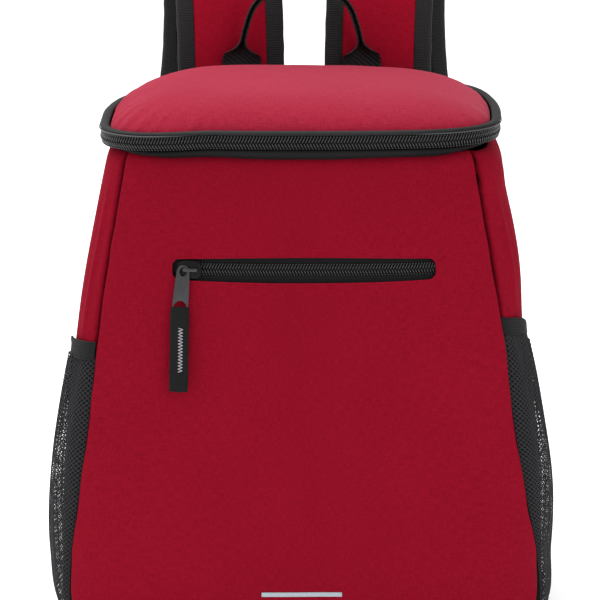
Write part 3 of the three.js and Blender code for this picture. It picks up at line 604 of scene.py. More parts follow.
def addPiece(name, bm, paint, replaces=(), body="bag"):
    mesh = meshFrom(name, bm)
    mesh.shade_smooth()
    mesh.materials.append(paints[paint])
    piece = link(bpy.data.objects.new(name, mesh))
    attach(piece, body)
    if replaces:
        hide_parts(*replaces)
    return piece


def thicken(piece, wall):
    change = piece.modifiers.new("wall", "SOLIDIFY")
    change.thickness = wall * mm
    change.offset = -1
    return piece


def soften(piece, levels=1):
    change = piece.modifiers.new("soften", "SUBSURF")
    change.levels = levels
    change.render_levels = levels
    return piece


# Copies of one small mesh, each turned and moved by its own matrix
def stampAll(bm, stamp, places):
    for place in places:
        first = len(bm.verts)
        bm.from_mesh(stamp)
        bm.verts.ensure_lookup_table()
        bmesh.ops.transform(bm, matrix=place, verts=bm.verts[first:])
    bpy.data.meshes.remove(stamp)
    return bm


def beadMesh(length, width, height, rings=5, around=8):  # a rounded bar along its own X
    bm = bmesh.new()
    bmesh.ops.create_uvsphere(bm, u_segments=around, v_segments=rings, radius=0.5 * mm)
    turn = Matrix.Rotation(math.radians(90), 3, "Y")
    bmesh.ops.rotate(bm, verts=bm.verts, cent=(0, 0, 0), matrix=turn)
    bmesh.ops.scale(bm, verts=bm.verts, vec=(length, width, height))
    return meshFrom("bead", bm)


def basisMatrix(place, x, y, z):
    return Matrix.Translation(place * mm) @ Matrix((x, y, z)).transposed().to_4x4()


# The bag's form, the same as the solid part's
form = {
    "width": 298, "height": 302, "frontReach": 92, "backReach": 90, "widest": 0.32,
    "frontPower": 3, "backPower": 4.2, "rearSeam": 0.9,
    # up, half width, front, back, seam: shares of the sizes above
    "sections": [
        (0, 0.967, 0.935, 0.955, 0.96),
        (0.05, 0.993, 0.97, 0.985, 0.965),
        (0.14, 1, 0.99, 1, 0.96),
        (0.3, 0.99, 1, 1, 0.926),
        (0.45, 0.965, 0.985, 1, 0.9),
        (0.62, 0.93, 0.94, 1, 0.883),
        (0.75, 0.893, 0.88, 1, 0.876),
        (0.87, 0.846, 0.805, 1, 0.876),
        (1, 0.786, 0.7, 0.99, 0.888),
    ],
}


def sectionAt(z):  # half width, widest line, reach ahead and behind of it, seam
    half, front, back, seam = readTable(form["sections"], z / form["height"])
    front *= form["frontReach"]
    back *= form["backReach"]
    widest = -front + form["widest"] * (front + back)
    return half * form["width"] / 2, widest, widest + front, back - widest, seam


# How the soft bag hangs: its rear corners drop a little at the lid, and its sides spread at the floor
slump = {
    -1: {"across": (50, 115), "back": (-30, 60), "up": (150, 305), "move": (2.2, 0, -3.9)},
    1: {"across": (70, 116), "back": (0, 60), "up": (262, 312), "move": (-2.6, 1, 0.9)},
}
feet = {"out": {-1: 1.2, 1: 3.4}, "across": (60, 125), "up": (6, 45)}


def settle(point):
    side = 1 if point.x > 0 else -1
    lean = slump[side]
    share = smoothStep(*lean["across"], abs(point.x)) * smoothStep(*lean["back"], point.y)
    share *= smoothStep(*lean["up"], point.z)
    foot = side * feet["out"][side] * smoothStep(*feet["across"], abs(point.x))
    foot *= 1 - smoothStep(*feet["up"], point.z)
    return point + Vector(lean["move"]) * share + Vector((foot, 0, 0))


# A point of the outline: angle 0 is the front's middle and grows towards +X
def plainOutline(z, angle, grow=0.0):
    half, widest, ahead, behind, _ = sectionAt(z)
    sine, cosine = math.sin(angle), math.cos(angle)
    power, depth = (form["frontPower"], ahead) if cosine >= 0 else (form["backPower"], behind)
    across, along = abs(sine / half), abs(cosine / depth)
    radius = (across ** power + along ** power) ** (-1 / power)
    normal = Vector((
        math.copysign((across * radius) ** (power - 1) / half, sine),
        -math.copysign((along * radius) ** (power - 1) / depth, cosine),
        0,
    )).normalized()
    return Vector((radius * sine, widest - radius * cosine, z)) + normal * grow


def outlinePoint(z, angle, grow=0.0):
    return settle(plainOutline(z, angle, grow))


def angleOfShare(z, share, isFront=True):
    half, _, ahead, behind, _ = sectionAt(z)
    power, depth = (form["frontPower"], ahead) if isFront else (form["backPower"], behind)
    along = depth * (1 - min(share, 1) ** power) ** (1 / power)
    return math.atan2(share * half, along if isFront else -along)


def facePoint(x, z, grow=0.0, isFront=True):  # on the front or the back, straight ahead of x
    angle = angleOfShare(z, abs(x) / sectionAt(z)[0], isFront)
    return outlinePoint(z, math.copysign(angle, x), grow)


# How much further out the front seam is sewn than the plain outline says, by height and side
seamShift = {
    -1: [(0, -0.001), (0.13, 0.006), (0.3, 0.007), (0.45, 0.012), (0.62, 0.02), (1, 0.023)],
    1: [(0, 0.012), (0.13, 0.029), (0.29, 0.015), (0.5, 0.008), (0.62, 0.015), (0.74, 0.006), (1, 0)],
}


def seamShare(z, sign):
    return sectionAt(z)[4] + readTable(seamShift[sign], z / form["height"])[0]


def frontSeam(z, sign):
    return angleOfShare(z, seamShare(z, sign))


def rearSeam(z):
    return angleOfShare(z, form["rearSeam"], False)


# Panels of the body
panels = {
    "base": 4.3,
    "seamGap": 0.3,
    "tuck": 2.4,  # how far a side panel's edge runs on under the front and back panels
    "tuckDepth": 4.2,
    "tuckReach": (0.2, 2.0),
    "seamRoll": 2.9,
    "seamReach": 2.6,
    "rollPower": 1.7,
    "levelShare": 0.7,  # of a seam's relief, at a panel's lower and upper edges
    "puckerDepth": 0.8,
    "puckerReach": 12,
    "puckerLength": 14,
    "sagDepth": 0.9,
    "sagLength": 75,
    "fineSag": {"share": 0.4, "across": 28, "up": 34},
    "sagFade": 20,  # from an edge
    "topTuck": 2.2,
    "topReach": 7,
    "sideWall": 2.5,
    "backWall": 3.5,
    "backTop": 0.5,
    "backIn": 0.4,
    "paintedShade": 0.85,  # how dark the painted shade in a seam's crease is
    "paintedShadeReach": (0.2, 1.3),
    "paintedShadeLength": 6,
    "halfWidth": 130,  # of the bag, where a length becomes an angle
    "frontSize": (310, 298),
    "frontAcross": 270,
    "backSize": (262, 298),
    "sideWidth": 140,
    "sideRow": 2.6,  # height of a row of faces
    "bunched": 0.8,
    "middle": (0, 0, 150),
}


# Painted shade along a seam's crease, darkest at the panel's edge
def paintedShadeTint(distance, z, seed):
    depth = panels["paintedShade"] * (1 + 0.5 * ripple(z / panels["paintedShadeLength"], seed, 4.0))
    return -depth * (1 - smoothStep(*panels["paintedShadeReach"], distance))


def seamRelief(distance, along, seed):  # a panel rolls in at a seam and puckers beside it
    roll = max(1 - distance / panels["seamReach"], 0)
    pucker = math.exp(-distance / panels["puckerReach"]) * ripple(along / panels["puckerLength"], seed, 0.5)
    return -panels["seamRoll"] * roll ** panels["rollPower"] + panels["puckerDepth"] * pucker


def sag(along, z, seed):
    length, fine = panels["sagLength"], panels["fineSag"]
    small = fine["share"] * ripple(along / fine["across"], z / fine["up"], seed + 5)
    return panels["sagDepth"] * (ripple(along / length, z / length, seed) + small)


def wallRelief(u, v, width, z, height, seed):
    edge = min(u, 1 - u) * width
    relief = seamRelief(edge, z, seed)
    relief += seamRelief(min(v, 1 - v) * height, u * width, seed + 3) * panels["levelShare"]
    return relief + sag(u * width, z, seed) * smoothStep(0, panels["sagFade"], edge)


def topTuck(z):  # the cloth turns in under the lid's zip
    return -panels["topTuck"] * smoothStep(form["height"] - panels["topReach"], form["height"], z)


# The front panel and the window of its pocket
frontFolds = {
    "depth": {-1: 0.9, 1: 0.4}, "below": (150, 260), "fromSeam": 6, "spread": 22, "across": 45, "up": 22,
    "turn": 1.15,  # the cloth's length for each millimetre across, near the seam
    "topTuck": 0.5, "seed": 2.0,
}
pocketWindow = {
    "x": 1.4, "z": 235.85, "length": 157.8, "height": 15.2, "endHeight": 12.2, "corner": 3.2,
    "margin": (6, 6.5),  # of the opening that is cut in the grid, before its edge is drawn in
    "reach": 5,  # past that margin, to find the cut edge
    "endShare": 0.965,  # past this share of the half length a point is on the upright end
    "steps": [0.15, 0.3, 0.4, 0.5, 0.6, 0.7, 0.79, 0.87, 0.94, 1.0],
    # painted highlight on the hem's lip, stronger on the upper edge, and painted shade in the groove beside
    # it
    "paintedHighlight": 0.45, "paintedHighlightAbove": 1.7, "paintedHighlightLength": 9, "paintedHighlightReach": (1.0, 2.1), "paintedShade": 0.55,
    "lip": 1.5, "lipWidth": 1.1, "groove": 1.3, "grooveAt": 3.2, "grooveWidth": 0.7,
    "turn": [(0.0, -0.5), (0.25, -1.1), (0.7, -1.6), (1.6, -1.75)],  # the folded edge: in, down
}


def windowHalfHeight(x):
    half, corner = pocketWindow["length"] / 2, pocketWindow["corner"]
    bow = 1 - (x / half) ** 2
    height = mix(pocketWindow["endHeight"], pocketWindow["height"], bow) / 2
    past = (abs(x) - (half - corner)) / corner
    if past > 0:
        height -= corner * (1 - math.sqrt(max(1 - past * past, 0)))
    return height


def grooveShare(distance, wider=1.0):
    return hump(distance, pocketWindow["grooveAt"], pocketWindow["grooveWidth"] * wider)


def lipRelief(distance):
    lip = pocketWindow["lip"] * hump(distance, pocketWindow["lipWidth"], pocketWindow["lipWidth"])
    return lip - pocketWindow["groove"] * grooveShare(distance)


# Painted light round the window: a painted highlight on the hem's lip and painted shade in its groove
def paintedHemLight(distance, spot):
    uneven = 1 + 0.5 * ripple(spot.x / pocketWindow["paintedHighlightLength"], distance, 3.0)
    paintedHighlight = pocketWindow["paintedHighlight"] * (pocketWindow["paintedHighlightAbove"] if spot.z > 0 else 1) * uneven
    paintedHighlight *= 1 - smoothStep(*pocketWindow["paintedHighlightReach"], distance)
    return paintedHighlight - pocketWindow["paintedShade"] * grooveShare(distance, 1.3)


def frontRelief(x, z):  # at a point of the front panel's face, seams included
    half = sectionAt(z)[0]
    hand = 1 if x > 0 else -1
    seed = frontFolds["seed"]
    edge = max(seamShare(z, hand) - abs(x) / half, 0) * half * frontFolds["turn"]
    relief = seamRelief(edge, z, seed)
    relief += seamRelief(min(z - panels["base"], form["height"] - z), x, seed + 3) * panels["levelShare"]
    low = 1 - smoothStep(*frontFolds["below"], z)
    fold = ripple(x / frontFolds["across"], z / frontFolds["up"], seed + 9)
    nearSeam = hump(edge, frontFolds["fromSeam"], frontFolds["spread"])
    relief += frontFolds["depth"][hand] * low * nearSeam * fold
    slack = sag(x, z, seed) * smoothStep(0, panels["sagFade"], edge)
    return relief + slack + topTuck(z) * frontFolds["topTuck"]


def makeFrontPanel():
    width, height = panels["frontSize"]
    gap = panels["seamGap"] / sectionAt(0)[0]

    def place(u, v):
        z = mix(panels["base"], form["height"], v)
        angle = mix(gap - frontSeam(z, -1), frontSeam(z, 1) - gap, u)
        return outlinePoint(z, angle, frontRelief(outlinePoint(z, angle).x, z))

    # painted shade along the side seams
    def tint(u, v):
        return paintedShadeTint(min(u, 1 - u) * panels["frontAcross"], v * height, 1.0 if u < 0.5 else 2.0)

    bm = shapedGrid(136, 118, place, (width, height), bunched=panels["bunched"], tint=tint)
    cutWindow(bm)
    bm.normal_update()
    faceOutwards(pointOut(bm), panels["middle"])
    piece = addPiece("frontPanel", bm, "redCloth", ["front_panel"])
    soften(piece)


# Cuts the opening out of the grid, draws its edge in to the window's outline and folds it under
def cutWindow(bm):
    half = pocketWindow["length"] / 2
    halfWide = half + pocketWindow["margin"][0]
    halfHigh = pocketWindow["height"] / 2 + pocketWindow["margin"][1]
    centre = Vector((pocketWindow["x"], 0, pocketWindow["z"]))

    def isNear(point, past):
        spot = point / mm - centre
        return abs(spot.x) < halfWide + past and abs(spot.z) < halfHigh + past

    inside = [f for f in bm.faces if isNear(f.calc_center_median(), 0)]
    bmesh.ops.delete(bm, geom=inside, context="FACES")
    cut = [
        e for e in bm.edges
        if e.is_boundary and all(isNear(v.co, pocketWindow["reach"]) for v in e.verts)
    ]
    start = bm.verts.layers.float_vector.new("start")
    aim = bm.verts.layers.float_vector.new("aim")
    fold = bm.verts.layers.float["fold"]
    weave = bm.loops.layers.uv["weave"]
    corners = {v for e in cut for v in e.verts}
    for vert in corners:
        vert[start] = vert.co / mm - centre
    reachX = max(abs(v[start].x) for v in corners)
    reachZ = max(abs(v[start].z) for v in corners)
    straight = pocketWindow["endHeight"] / 2 - pocketWindow["corner"]
    for vert in corners:
        spot = vert[start]
        across, up = spot.x / reachX, spot.z / reachZ
        if abs(across) > pocketWindow["endShare"]:
            vert[aim] = (math.copysign(half, spot.x), 0, straight * min(max(up, -1), 1))
        else:
            x = half * across / pocketWindow["endShare"]
            vert[aim] = (x, 0, math.copysign(windowHalfHeight(x), spot.z))

    def drawIn(edges, placeOf):
        made = bmesh.ops.extrude_edge_only(bm, edges=edges)["geom"]
        for vert in (g for g in made if isinstance(g, bmesh.types.BMVert)):
            vert.co = placeOf(vert) * mm
        for face in (g for g in made if isinstance(g, bmesh.types.BMFace)):
            for corner in face.loops:
                spot = corner.vert.co / mm
                corner[weave].uv = ((spot.x + panels["frontSize"][0] / 2) / weaveUnit, spot.z / weaveUnit)
        return [g for g in made if isinstance(g, bmesh.types.BMEdge) and g.is_boundary]

    def onPanel(spot, grow):
        x, z = spot.x + centre.x, spot.z + centre.z
        return facePoint(x, z, frontRelief(x, z) + grow)

    for share in pocketWindow["steps"]:
        def towards(vert, share=share):
            spot = vert[start].lerp(vert[aim], share)
            distance = (vert[start] - vert[aim]).length * (1 - share)
            vert[fold] = paintedHemLight(distance, spot)
            return onPanel(spot, lipRelief(distance))

        cut = drawIn(cut, towards)
    for back, down in pocketWindow["turn"]:
        def underneath(vert, back=back, down=down):
            outwards = (vert[start] - vert[aim]).normalized()
            return onPanel(vert[aim] + outwards * back, lipRelief(0) + down)

        cut = drawIn(cut, underneath)


# The edge of the side pockets, where the upper and the lower side panels meet
pocketShapes = {
    "left": {"top": 188, "drop": 12, "dip": 20, "dips": (0.2, 0.55), "pinch": 0.3},
    "right": {"top": 203.2, "drop": 20, "dip": 16, "dips": (0.06, 0.5), "pinch": 2.2},
    "bandHeight": 11.4,
    "pinchBelow": 12, "pinchSpread": 24,
}
# The soft upright fold in each side panel, across the bag as a share of its half width
creases = {
    "left": {"share": 0.958, "ridge": 1.3, "from": 186, "to": 292, "lean": 0.00012},
    "right": {"share": 0.955, "ridge": 1.6, "from": 206, "to": 290, "lean": 0.00016},
    "leanFrom": 240, "depth": 330, "begins": (-12, 25), "ends": 45,
    # middle, spread, height
    "waves": [(0, 3.2, 1), (6.5, 4.5, -0.85), (-6, 4, -0.3)],
}
# How far a side panel swells: height, spread and how much on each side
swells = [
    {"at": 289, "spread": 11, "left": 0.0, "right": 2.4},
    {"at": 245, "spread": 38, "left": -0.5, "right": 1.2},
]
sideSeeds = {"left": 11.0, "right": 23.0}


def bandTop(side, u):  # lower towards the back
    shape = pocketShapes[side]
    return shape["top"] - shape["drop"] * u - shape["dip"] * smoothStep(*shape["dips"], u)


def pinch(side, z):  # the pocket's elastic draws the side in
    shape = pocketShapes[side]
    return -shape["pinch"] * hump(z, shape["top"] - pocketShapes["pinchBelow"], pocketShapes["pinchSpread"])


def creaseRelief(side, point, z):
    crease = creases[side]
    share = abs(point.x) / sectionAt(z)[0]
    if point.y > sectionAt(z)[1]:
        share = 2 - share
    middle = crease["share"] + crease["lean"] * (creases["leanFrom"] - z)
    distance = (share - middle) * creases["depth"]
    before, after = creases["begins"]
    fade = smoothStep(crease["from"] + before, crease["from"] + after, z)
    fade *= 1 - smoothStep(crease["to"] - creases["ends"], crease["to"], z)
    waves = sum(height * hump(distance, at, spread) for at, spread, height in creases["waves"])
    return crease["ridge"] * fade * waves


def makeGusset(side, part, low, high, paint, seed):
    sign = sides[side]
    tuck = panels["tuck"] / panels["halfWidth"]
    width, height = panels["sideWidth"], high(0) - low(0)

    def place(u, v):
        z = mix(low(u), high(u), v)
        angle = sign * mix(frontSeam(z, sign) - tuck, rearSeam(z) + tuck, u)
        relief = wallRelief(u, v, width, z, height, seed)
        inside = min(u, 1 - u) * width - panels["tuck"]
        relief -= panels["tuckDepth"] * (1 - smoothStep(*panels["tuckReach"], inside))
        relief += topTuck(z) + sum(swell[side] * hump(z, swell["at"], swell["spread"]) for swell in swells)
        relief += creaseRelief(side, outlinePoint(z, angle), z) + pinch(side, z)
        return outlinePoint(z, angle, relief)

    # painted shade along the front and rear seams
    def tint(u, v):
        return paintedShadeTint(min(u, 1 - u) * width - panels["tuck"], mix(low(u), high(u), v), seed)

    rows = max(int(height / panels["sideRow"]), 8)
    grid = shapedGrid(66, rows, place, (width, height), bunched=panels["bunched"], tint=tint)
    bm = faceOutwards(grid, panels["middle"])
    node = "gusset_" + part.replace("Side", "") + "_" + side
    piece = addPiece(part + side.capitalize(), bm, paint, [node])
    soften(thicken(piece, panels["sideWall"]))
    flat = (width * mm, (high(0) - low(1)) * mm)
    0.98 * flat[0] * (high(0.5) - low(0.5)) * mm


def makeSides():
    def lidSeam(u):
        return form["height"]

    def floorSeam(u):
        return panels["base"]

    for side in sides:
        def pocketSeam(u, side=side):
            return bandTop(side, u) - pocketShapes["bandHeight"] / 2

        seed = sideSeeds[side]
        makeGusset(side, "upperSide", pocketSeam, lidSeam, "redCloth", seed)
        makeGusset(side, "lowerSide", floorSeam, pocketSeam, "blackCloth", seed + 1)


def makeBackPanel():
    width, height = panels["backSize"]
    gap = panels["seamGap"] / panels["halfWidth"]

    def place(u, v):
        z = mix(panels["base"], form["height"] - panels["backTop"], v)
        angle = mix(rearSeam(z) + gap, 2 * math.pi - rearSeam(z) - gap, u)
        return outlinePoint(z, angle, wallRelief(u, v, width, z, height, 31.0) - panels["backIn"])

    bm = faceOutwards(shapedGrid(90, 100, place, (width, height)), panels["middle"])
    piece = addPiece("backPanel", bm, "spacerMesh", ["back_panel"])
    thicken(piece, panels["backWall"])


base = {"height": 4.0, "tuck": 5.0, "inset": 0.2, "wall": 2.0, "edgeShare": 0.2}


def makeBase():
    def place(u, v):
        angle = 2 * math.pi * u
        if v < base["edgeShare"]:  # the rounded upright edge
            turn = v / base["edgeShare"] * math.pi / 2
            grow = -base["tuck"] * (1 - math.cos(turn)) - base["inset"]
            spot = outlinePoint(base["height"], angle, grow)
            return Vector((spot.x, spot.y, base["height"] * (1 - math.sin(turn))))
        spot = outlinePoint(base["height"], angle, -base["tuck"] - base["inset"])
        spread = 1 - (v - base["edgeShare"]) / (1 - base["edgeShare"])
        return Vector((spot.x * spread, spot.y * spread, 0))

    bm = faceOutwards(shapedGrid(120, 20, place, (800, 90), closes=True), (0, 0, 60))
    piece = addPiece("base", straightWeave(bm), "blackCloth", ["base_panel"])
    soften(thicken(piece, base["wall"]))


makeFrontPanel()
makeSides()
makeBackPanel()
makeBase()
print("body panels made")

# The zip round the lid's rim, and the cloth hinge behind it
rim = {
    # distance out and height, round each closed section
    "lowerTape": [
        (0.0, 302.1), (2.2, 302.0), (3.8, 302.5), (4.5, 303.6), (4.5, 305.3), (4.0, 306.5),
        (2.0, 306.9), (0.0, 306.6), (-2.5, 304.8), (-2.6, 300.4), (-1.6, 299.6), (-0.6, 300.4),
    ],
    "upperTape": [
        (4.0, 315.8), (4.7, 316.2), (4.8, 317.0), (4.1, 317.9), (2.8, 318.2), (1.0, 318.1),
        (-0.4, 317.7), (-0.7, 316.8), (0.0, 315.9), (2.0, 315.6),
    ],
    "coilBack": [
        (2.4, 306.8), (3.0, 306.9), (3.3, 309.0), (3.4, 311.2), (3.3, 313.4), (3.0, 315.7),
        (2.4, 315.8), (1.4, 311.2),
    ],
    "length": 800,
    "steps": 220,
    "piping": {"out": 5.2, "up": 316.1, "radius": 0.45, "beads": 8, "sunk": 1.6, "shows": (0.8, 0.93)},
    "coil": {"length": 4.9, "width": 1.15, "height": 1.6, "lean": 24, "pitch": 1.9},
    "proud": 3.9,
    "middle": 311.2,
    # Each pair below is two shares of the way round to the side, or to the front
    "isFront": (-0.3, 0.1),
    "leanBelow": 310.0,  # the zip leans in under the lid along the sides
    "lean": 0.72,
    "leanSides": (0.87, 1),
    "leanFront": (-0.35, 0.2),
    "inset": {-1: -0.6, 1: 1.4},
    "lift": {-1: 0.42, 1: 0.3},
    "liftSides": (0.92, 1),
    "rise": {-1: 1.3, 1: 0.9},  # how much narrower the lower tape shows beside the middle
    "riseSides": {-1: (0.4, 0.85), 1: (0.25, 0.85)},
    "riseBelow": 307,
    "riseReach": 4.5,
    "riseMost": 1.3,
    "droop": {-1: 4.0, 1: 0.4},  # how far its front corners hang
    "droopSides": (0.7, 1.0),
    "droopFront": (-0.25, 0.05),
    "droopPower": 1.5,
    "shade": 0.6,  # painted shade on the tape round the corners
    "shadeSides": (0.72, 0.95),
    "hingeHalf": 72,
    "hinge": {"out": 2.6, "bulge": 1.0, "low": 307.0, "high": 315.4, "wall": 1.2},
}


def rimPoint(angle, grow, z):
    across, cosine = abs(math.sin(angle)), math.cos(angle)
    hand = 1 if math.sin(angle) > 0 else -1
    below = max(rim["leanBelow"] - z, 0)
    isFront = smoothStep(*rim["isFront"], cosine)
    side = smoothStep(*rim["leanSides"], across) * smoothStep(*rim["leanFront"], cosine)
    hang = smoothStep(*rim["droopSides"], across) ** rim["droopPower"]
    hang *= smoothStep(*rim["droopFront"], cosine)
    narrow = smoothStep(*rim["riseSides"][hand], across) * isFront
    narrow *= min(max((rim["riseBelow"] - z) / rim["riseReach"], 0), rim["riseMost"])
    turned = below * smoothStep(*rim["liftSides"], across) * isFront
    point = plainOutline(form["height"], angle, grow - (rim["lean"] * below + rim["inset"][hand]) * side)
    point.z = z + rim["lift"][hand] * turned + rim["rise"][hand] * narrow - rim["droop"][hand] * hang
    return settle(point)


def makeRimTape(name, profile, replaces, paint):
    around = len(profile)

    def place(u, v):
        grow, z = profile[round(v * around) % around]
        return rimPoint(2 * math.pi * u, grow, z)

    # painted shade round the corners
    def tint(u, v):
        return -rim["shade"] * smoothStep(*rim["shadeSides"], abs(math.sin(2 * math.pi * u)))

    bm = shapedGrid(rim["steps"], around, place, (rim["length"], 24), closes=True, tint=tint)
    return soften(addPiece(name, turnWeave(pointOut(bm)), paint, [replaces]))


def evenSteps(place, start, end, pitch, samples=900):  # values whose points lie a pitch apart
    last = place(start)
    travelled, due, found = 0.0, pitch / 2, []
    for i in range(1, samples + 1):
        t = mix(start, end, i / samples)
        point = place(t)
        step = (point - last).length
        while travelled + step >= due:
            found.append(mix(mix(start, end, (i - 1) / samples), t, (due - travelled) / step))
            due += pitch
        travelled += step
        last = point
    return found


# A coil's tooth is a slim bar along its own X with a round head at its outer end, facing +Z
tooth = {
    "head": (1.5, 1.05, 1.05),  # against the bar's width, width and height
    "headOut": 0.42, "headUp": 0.12,
    "slope": {-1: 0.4, 1: 0.12},  # each row's tips sink a little
    "rowShift": 0.000025,
}


def toothMesh(size):
    bm = bmesh.new()
    bar = beadMesh(size["length"], size["width"], size["height"], 4, 6)
    long, wide, high = tooth["head"]
    head = beadMesh(size["width"] * long, size["width"] * wide, size["height"] * high, 5, 6)
    bm.from_mesh(bar)
    first = len(bm.verts)
    bm.from_mesh(head)
    bm.verts.ensure_lookup_table()
    out = Vector((size["length"] * tooth["headOut"], 0, size["height"] * tooth["headUp"])) * mm
    bmesh.ops.translate(bm, verts=bm.verts[first:], vec=out)
    for used in (bar, head):
        bpy.data.meshes.remove(used)
    return meshFrom("tooth", bm)


# Two rows of slanted teeth that meet along the middle of a zip
def makeCoil(name, place, start, end, size, up, replaces):
    spots = []
    lean = math.radians(size["lean"])
    for row in (-1, 1):
        for t in evenSteps(place, start, end, size["pitch"]):
            t += row * tooth["rowShift"] * (end - start)
            along = (place(t + 1e-3) - place(t - 1e-3)).normalized()
            level = (up - along * up.dot(along)).normalized()
            outwards = along.cross(level)
            axis = level * row * math.cos(lean) + along * math.sin(lean)
            middle = place(t) + axis * size["length"] * tooth["headOut"]
            middle += along * (0.5 * size["pitch"] if row > 0 else 0)
            tip = (axis - outwards * tooth["slope"][row]).normalized()
            spots.append(basisMatrix(middle, tip, outwards.cross(tip), outwards))
    bm = pointOut(stampAll(bmesh.new(), toothMesh(size), spots))
    return addPiece(name, bm, "zipCoil", replaces)


def hingeAngle():
    return math.atan2(rim["hingeHalf"], sectionAt(form["height"])[3])


lid = {
    "edge": 315.6, "crown": 19.6, "crest": (-22, 22), "inset": 1.1, "wall": 4.0,
    # share of the way in to the crest, spread, rise
    "rings": [
        (0, 1, 0), (0.05, 0.99, 0.13), (0.12, 0.955, 0.32), (0.25, 0.88, 0.56), (0.45, 0.74, 0.79),
        (0.68, 0.52, 0.935), (1, 0, 1.01),
    ],
    "wrinkles": {
        -1: {"height": 1.6, "pitch": 10.5, "reach": 0.42},
        1: {"height": 0.4, "pitch": 5.5, "reach": 0.22},
    },
    "wrinkleRadius": 117, "wrinkleBend": 2.2, "wrinkleUneven": 0.7, "wrinkleAcross": (40, 95),
    "wrinkleStart": 0.04, "wrinkleFade": 0.05,
    "levelReach": 0.75,
    "sag": 0.9, "sagLength": (70, 60), "fineSag": 0.35, "fineLength": 22, "sagFrom": (0.1, 0.5),
}


def lidPlace(u, v):
    angle = 2 * math.pi * u
    spread, rise = readTable(lid["rings"], v)
    crest = Vector((*lid["crest"], lid["edge"]))
    seam = rimPoint(angle, -lid["inset"], lid["edge"])
    flat = crest.lerp(seam, spread)
    wrinkle = lid["wrinkles"][-1 if flat.x < 0 else 1]
    corner = smoothStep(*lid["wrinkleAcross"], abs(flat.x)) * smoothStep(0, lid["wrinkleStart"], v)
    corner *= 1 - smoothStep(lid["wrinkleFade"], wrinkle["reach"], v)
    turn = angle * lid["wrinkleRadius"] / wrinkle["pitch"] * 2 * math.pi
    turn += lid["wrinkleBend"] * ripple(angle * 4, v * 2, 6.0)
    uneven = lid["wrinkleUneven"] * ripple(angle * 9, v * 3, 4.0)
    fold = wrinkle["height"] * corner * (math.sin(turn) + uneven)
    soft = ripple(flat.x / lid["sagLength"][0], flat.y / lid["sagLength"][1], 8.0)
    soft += lid["fineSag"] * ripple(flat.x / lid["fineLength"], flat.y / lid["fineLength"], 3.0)
    up = mix(seam.z, crest.z, smoothStep(0, lid["levelReach"], v)) + lid["crown"] * rise + fold
    return Vector((flat.x, flat.y, up + lid["sag"] * soft * smoothStep(*lid["sagFrom"], v)))


def makeLid():
    bm = faceOutwards(shapedGrid(180, 44, lidPlace, (760, 90), closes=True), (0, 0, 280))
    piece = addPiece("lid", straightWeave(bm), "lidCloth", ["lid_panel"])
    soften(thicken(piece, lid["wall"]))


# The cord along the rim's edge, pale as a painted highlight; it sinks in away from the sides
def makePiping():
    piping = rim["piping"]
    beads, radius = piping["beads"], piping["radius"]

    def place(u, v):
        turn = 2 * math.pi * round(v * beads) / beads
        angle = 2 * math.pi * u
        shows = smoothStep(*piping["shows"], abs(math.sin(angle)))
        out = piping["out"] - piping["sunk"] * (1 - shows) + radius * math.cos(turn)
        return rimPoint(angle, out, piping["up"] + radius * math.sin(turn))

    bm = shapedGrid(rim["steps"], beads, place, (rim["length"], 4), closes=True)
    addPiece("rimPiping", pointOut(bm), "pipingCord")


def makeRimCoil():
    around = len(rim["coilBack"])
    ends = math.pi - hingeAngle() - 0.01

    def backPlace(u, v):
        grow, z = rim["coilBack"][round(v * around) % around]
        return rimPoint(mix(-ends, ends, u), grow, z)

    def middleLine(t):
        return rimPoint(t, rim["proud"], rim["middle"])

    bm = shapedGrid(180, around, backPlace, (640, 20), closes=True)
    addPiece("rimCoilTape", closeEnds(bm, around), "zipTape")
    makeCoil("rimCoil", middleLine, -ends, ends, rim["coil"], Vector((0, 0, 1)), ["lid_coil"])


def makeHinge():
    hinge = rim["hinge"]
    half = hingeAngle() - 0.01

    def place(u, v):
        angle = mix(math.pi - half, math.pi + half, u)
        bulge = hinge["out"] + hinge["bulge"] * math.sin(math.pi * v)
        return rimPoint(angle, bulge, mix(hinge["low"], hinge["high"], v))

    bm = faceOutwards(shapedGrid(60, 8, place, (145, 9)), (0, 0, 311))
    piece = addPiece("lidHinge", bm, "blackCloth", ["lid_hinge"])
    thicken(piece, hinge["wall"])


makeLid()
makeRimTape("rimTapeLower", rim["lowerTape"], "lid_tape_lower", "zipTape")
makeRimTape("rimTapeUpper", rim["upperTape"], "lid_tape_upper", "ledgeTape")
makePiping()
makeRimCoil()
makeHinge()
print("lid and rim made")

# Side pockets
net = {
    "pitch": 2.3, "crowd": 0.94, "strand": 0.66, "thread": 0.26, "width": 142,
    "bulge": 8.4, "peak": 0.3, "bulgePower": 1.15, "edgeOffset": 0.3, "wall": 0.5,
    "upright": (0.06, 0.94), "topPower": 0.8, "floor": (-0.03, 0.04),
    "slack": {"left": 0.2, "right": 0.0},  # more bulge low down
    "slackBelow": (0.2, 0.6),
    "foot": {"left": 0.6, "right": 0.42},  # how soon it bulges above the base
    "taut": {"left": 0.25, "right": 0.62},  # less below the band
    "tautAbove": (0.4, 1),
    "gather": 1.9, "gathers": 9, "gatherBend": 2.5, "gatherLow": 0.25, "gatherAbove": (0.35, 1),
    "gatherShare": 0.6, "gatherFade": 0.1,
    "tuck": 0.8, "edgeIn": 1.6, "edgeReach": 0.03,
    "above": 0.4, "under": 1.5,  # its lower edge above the base, its upper one under the band
}


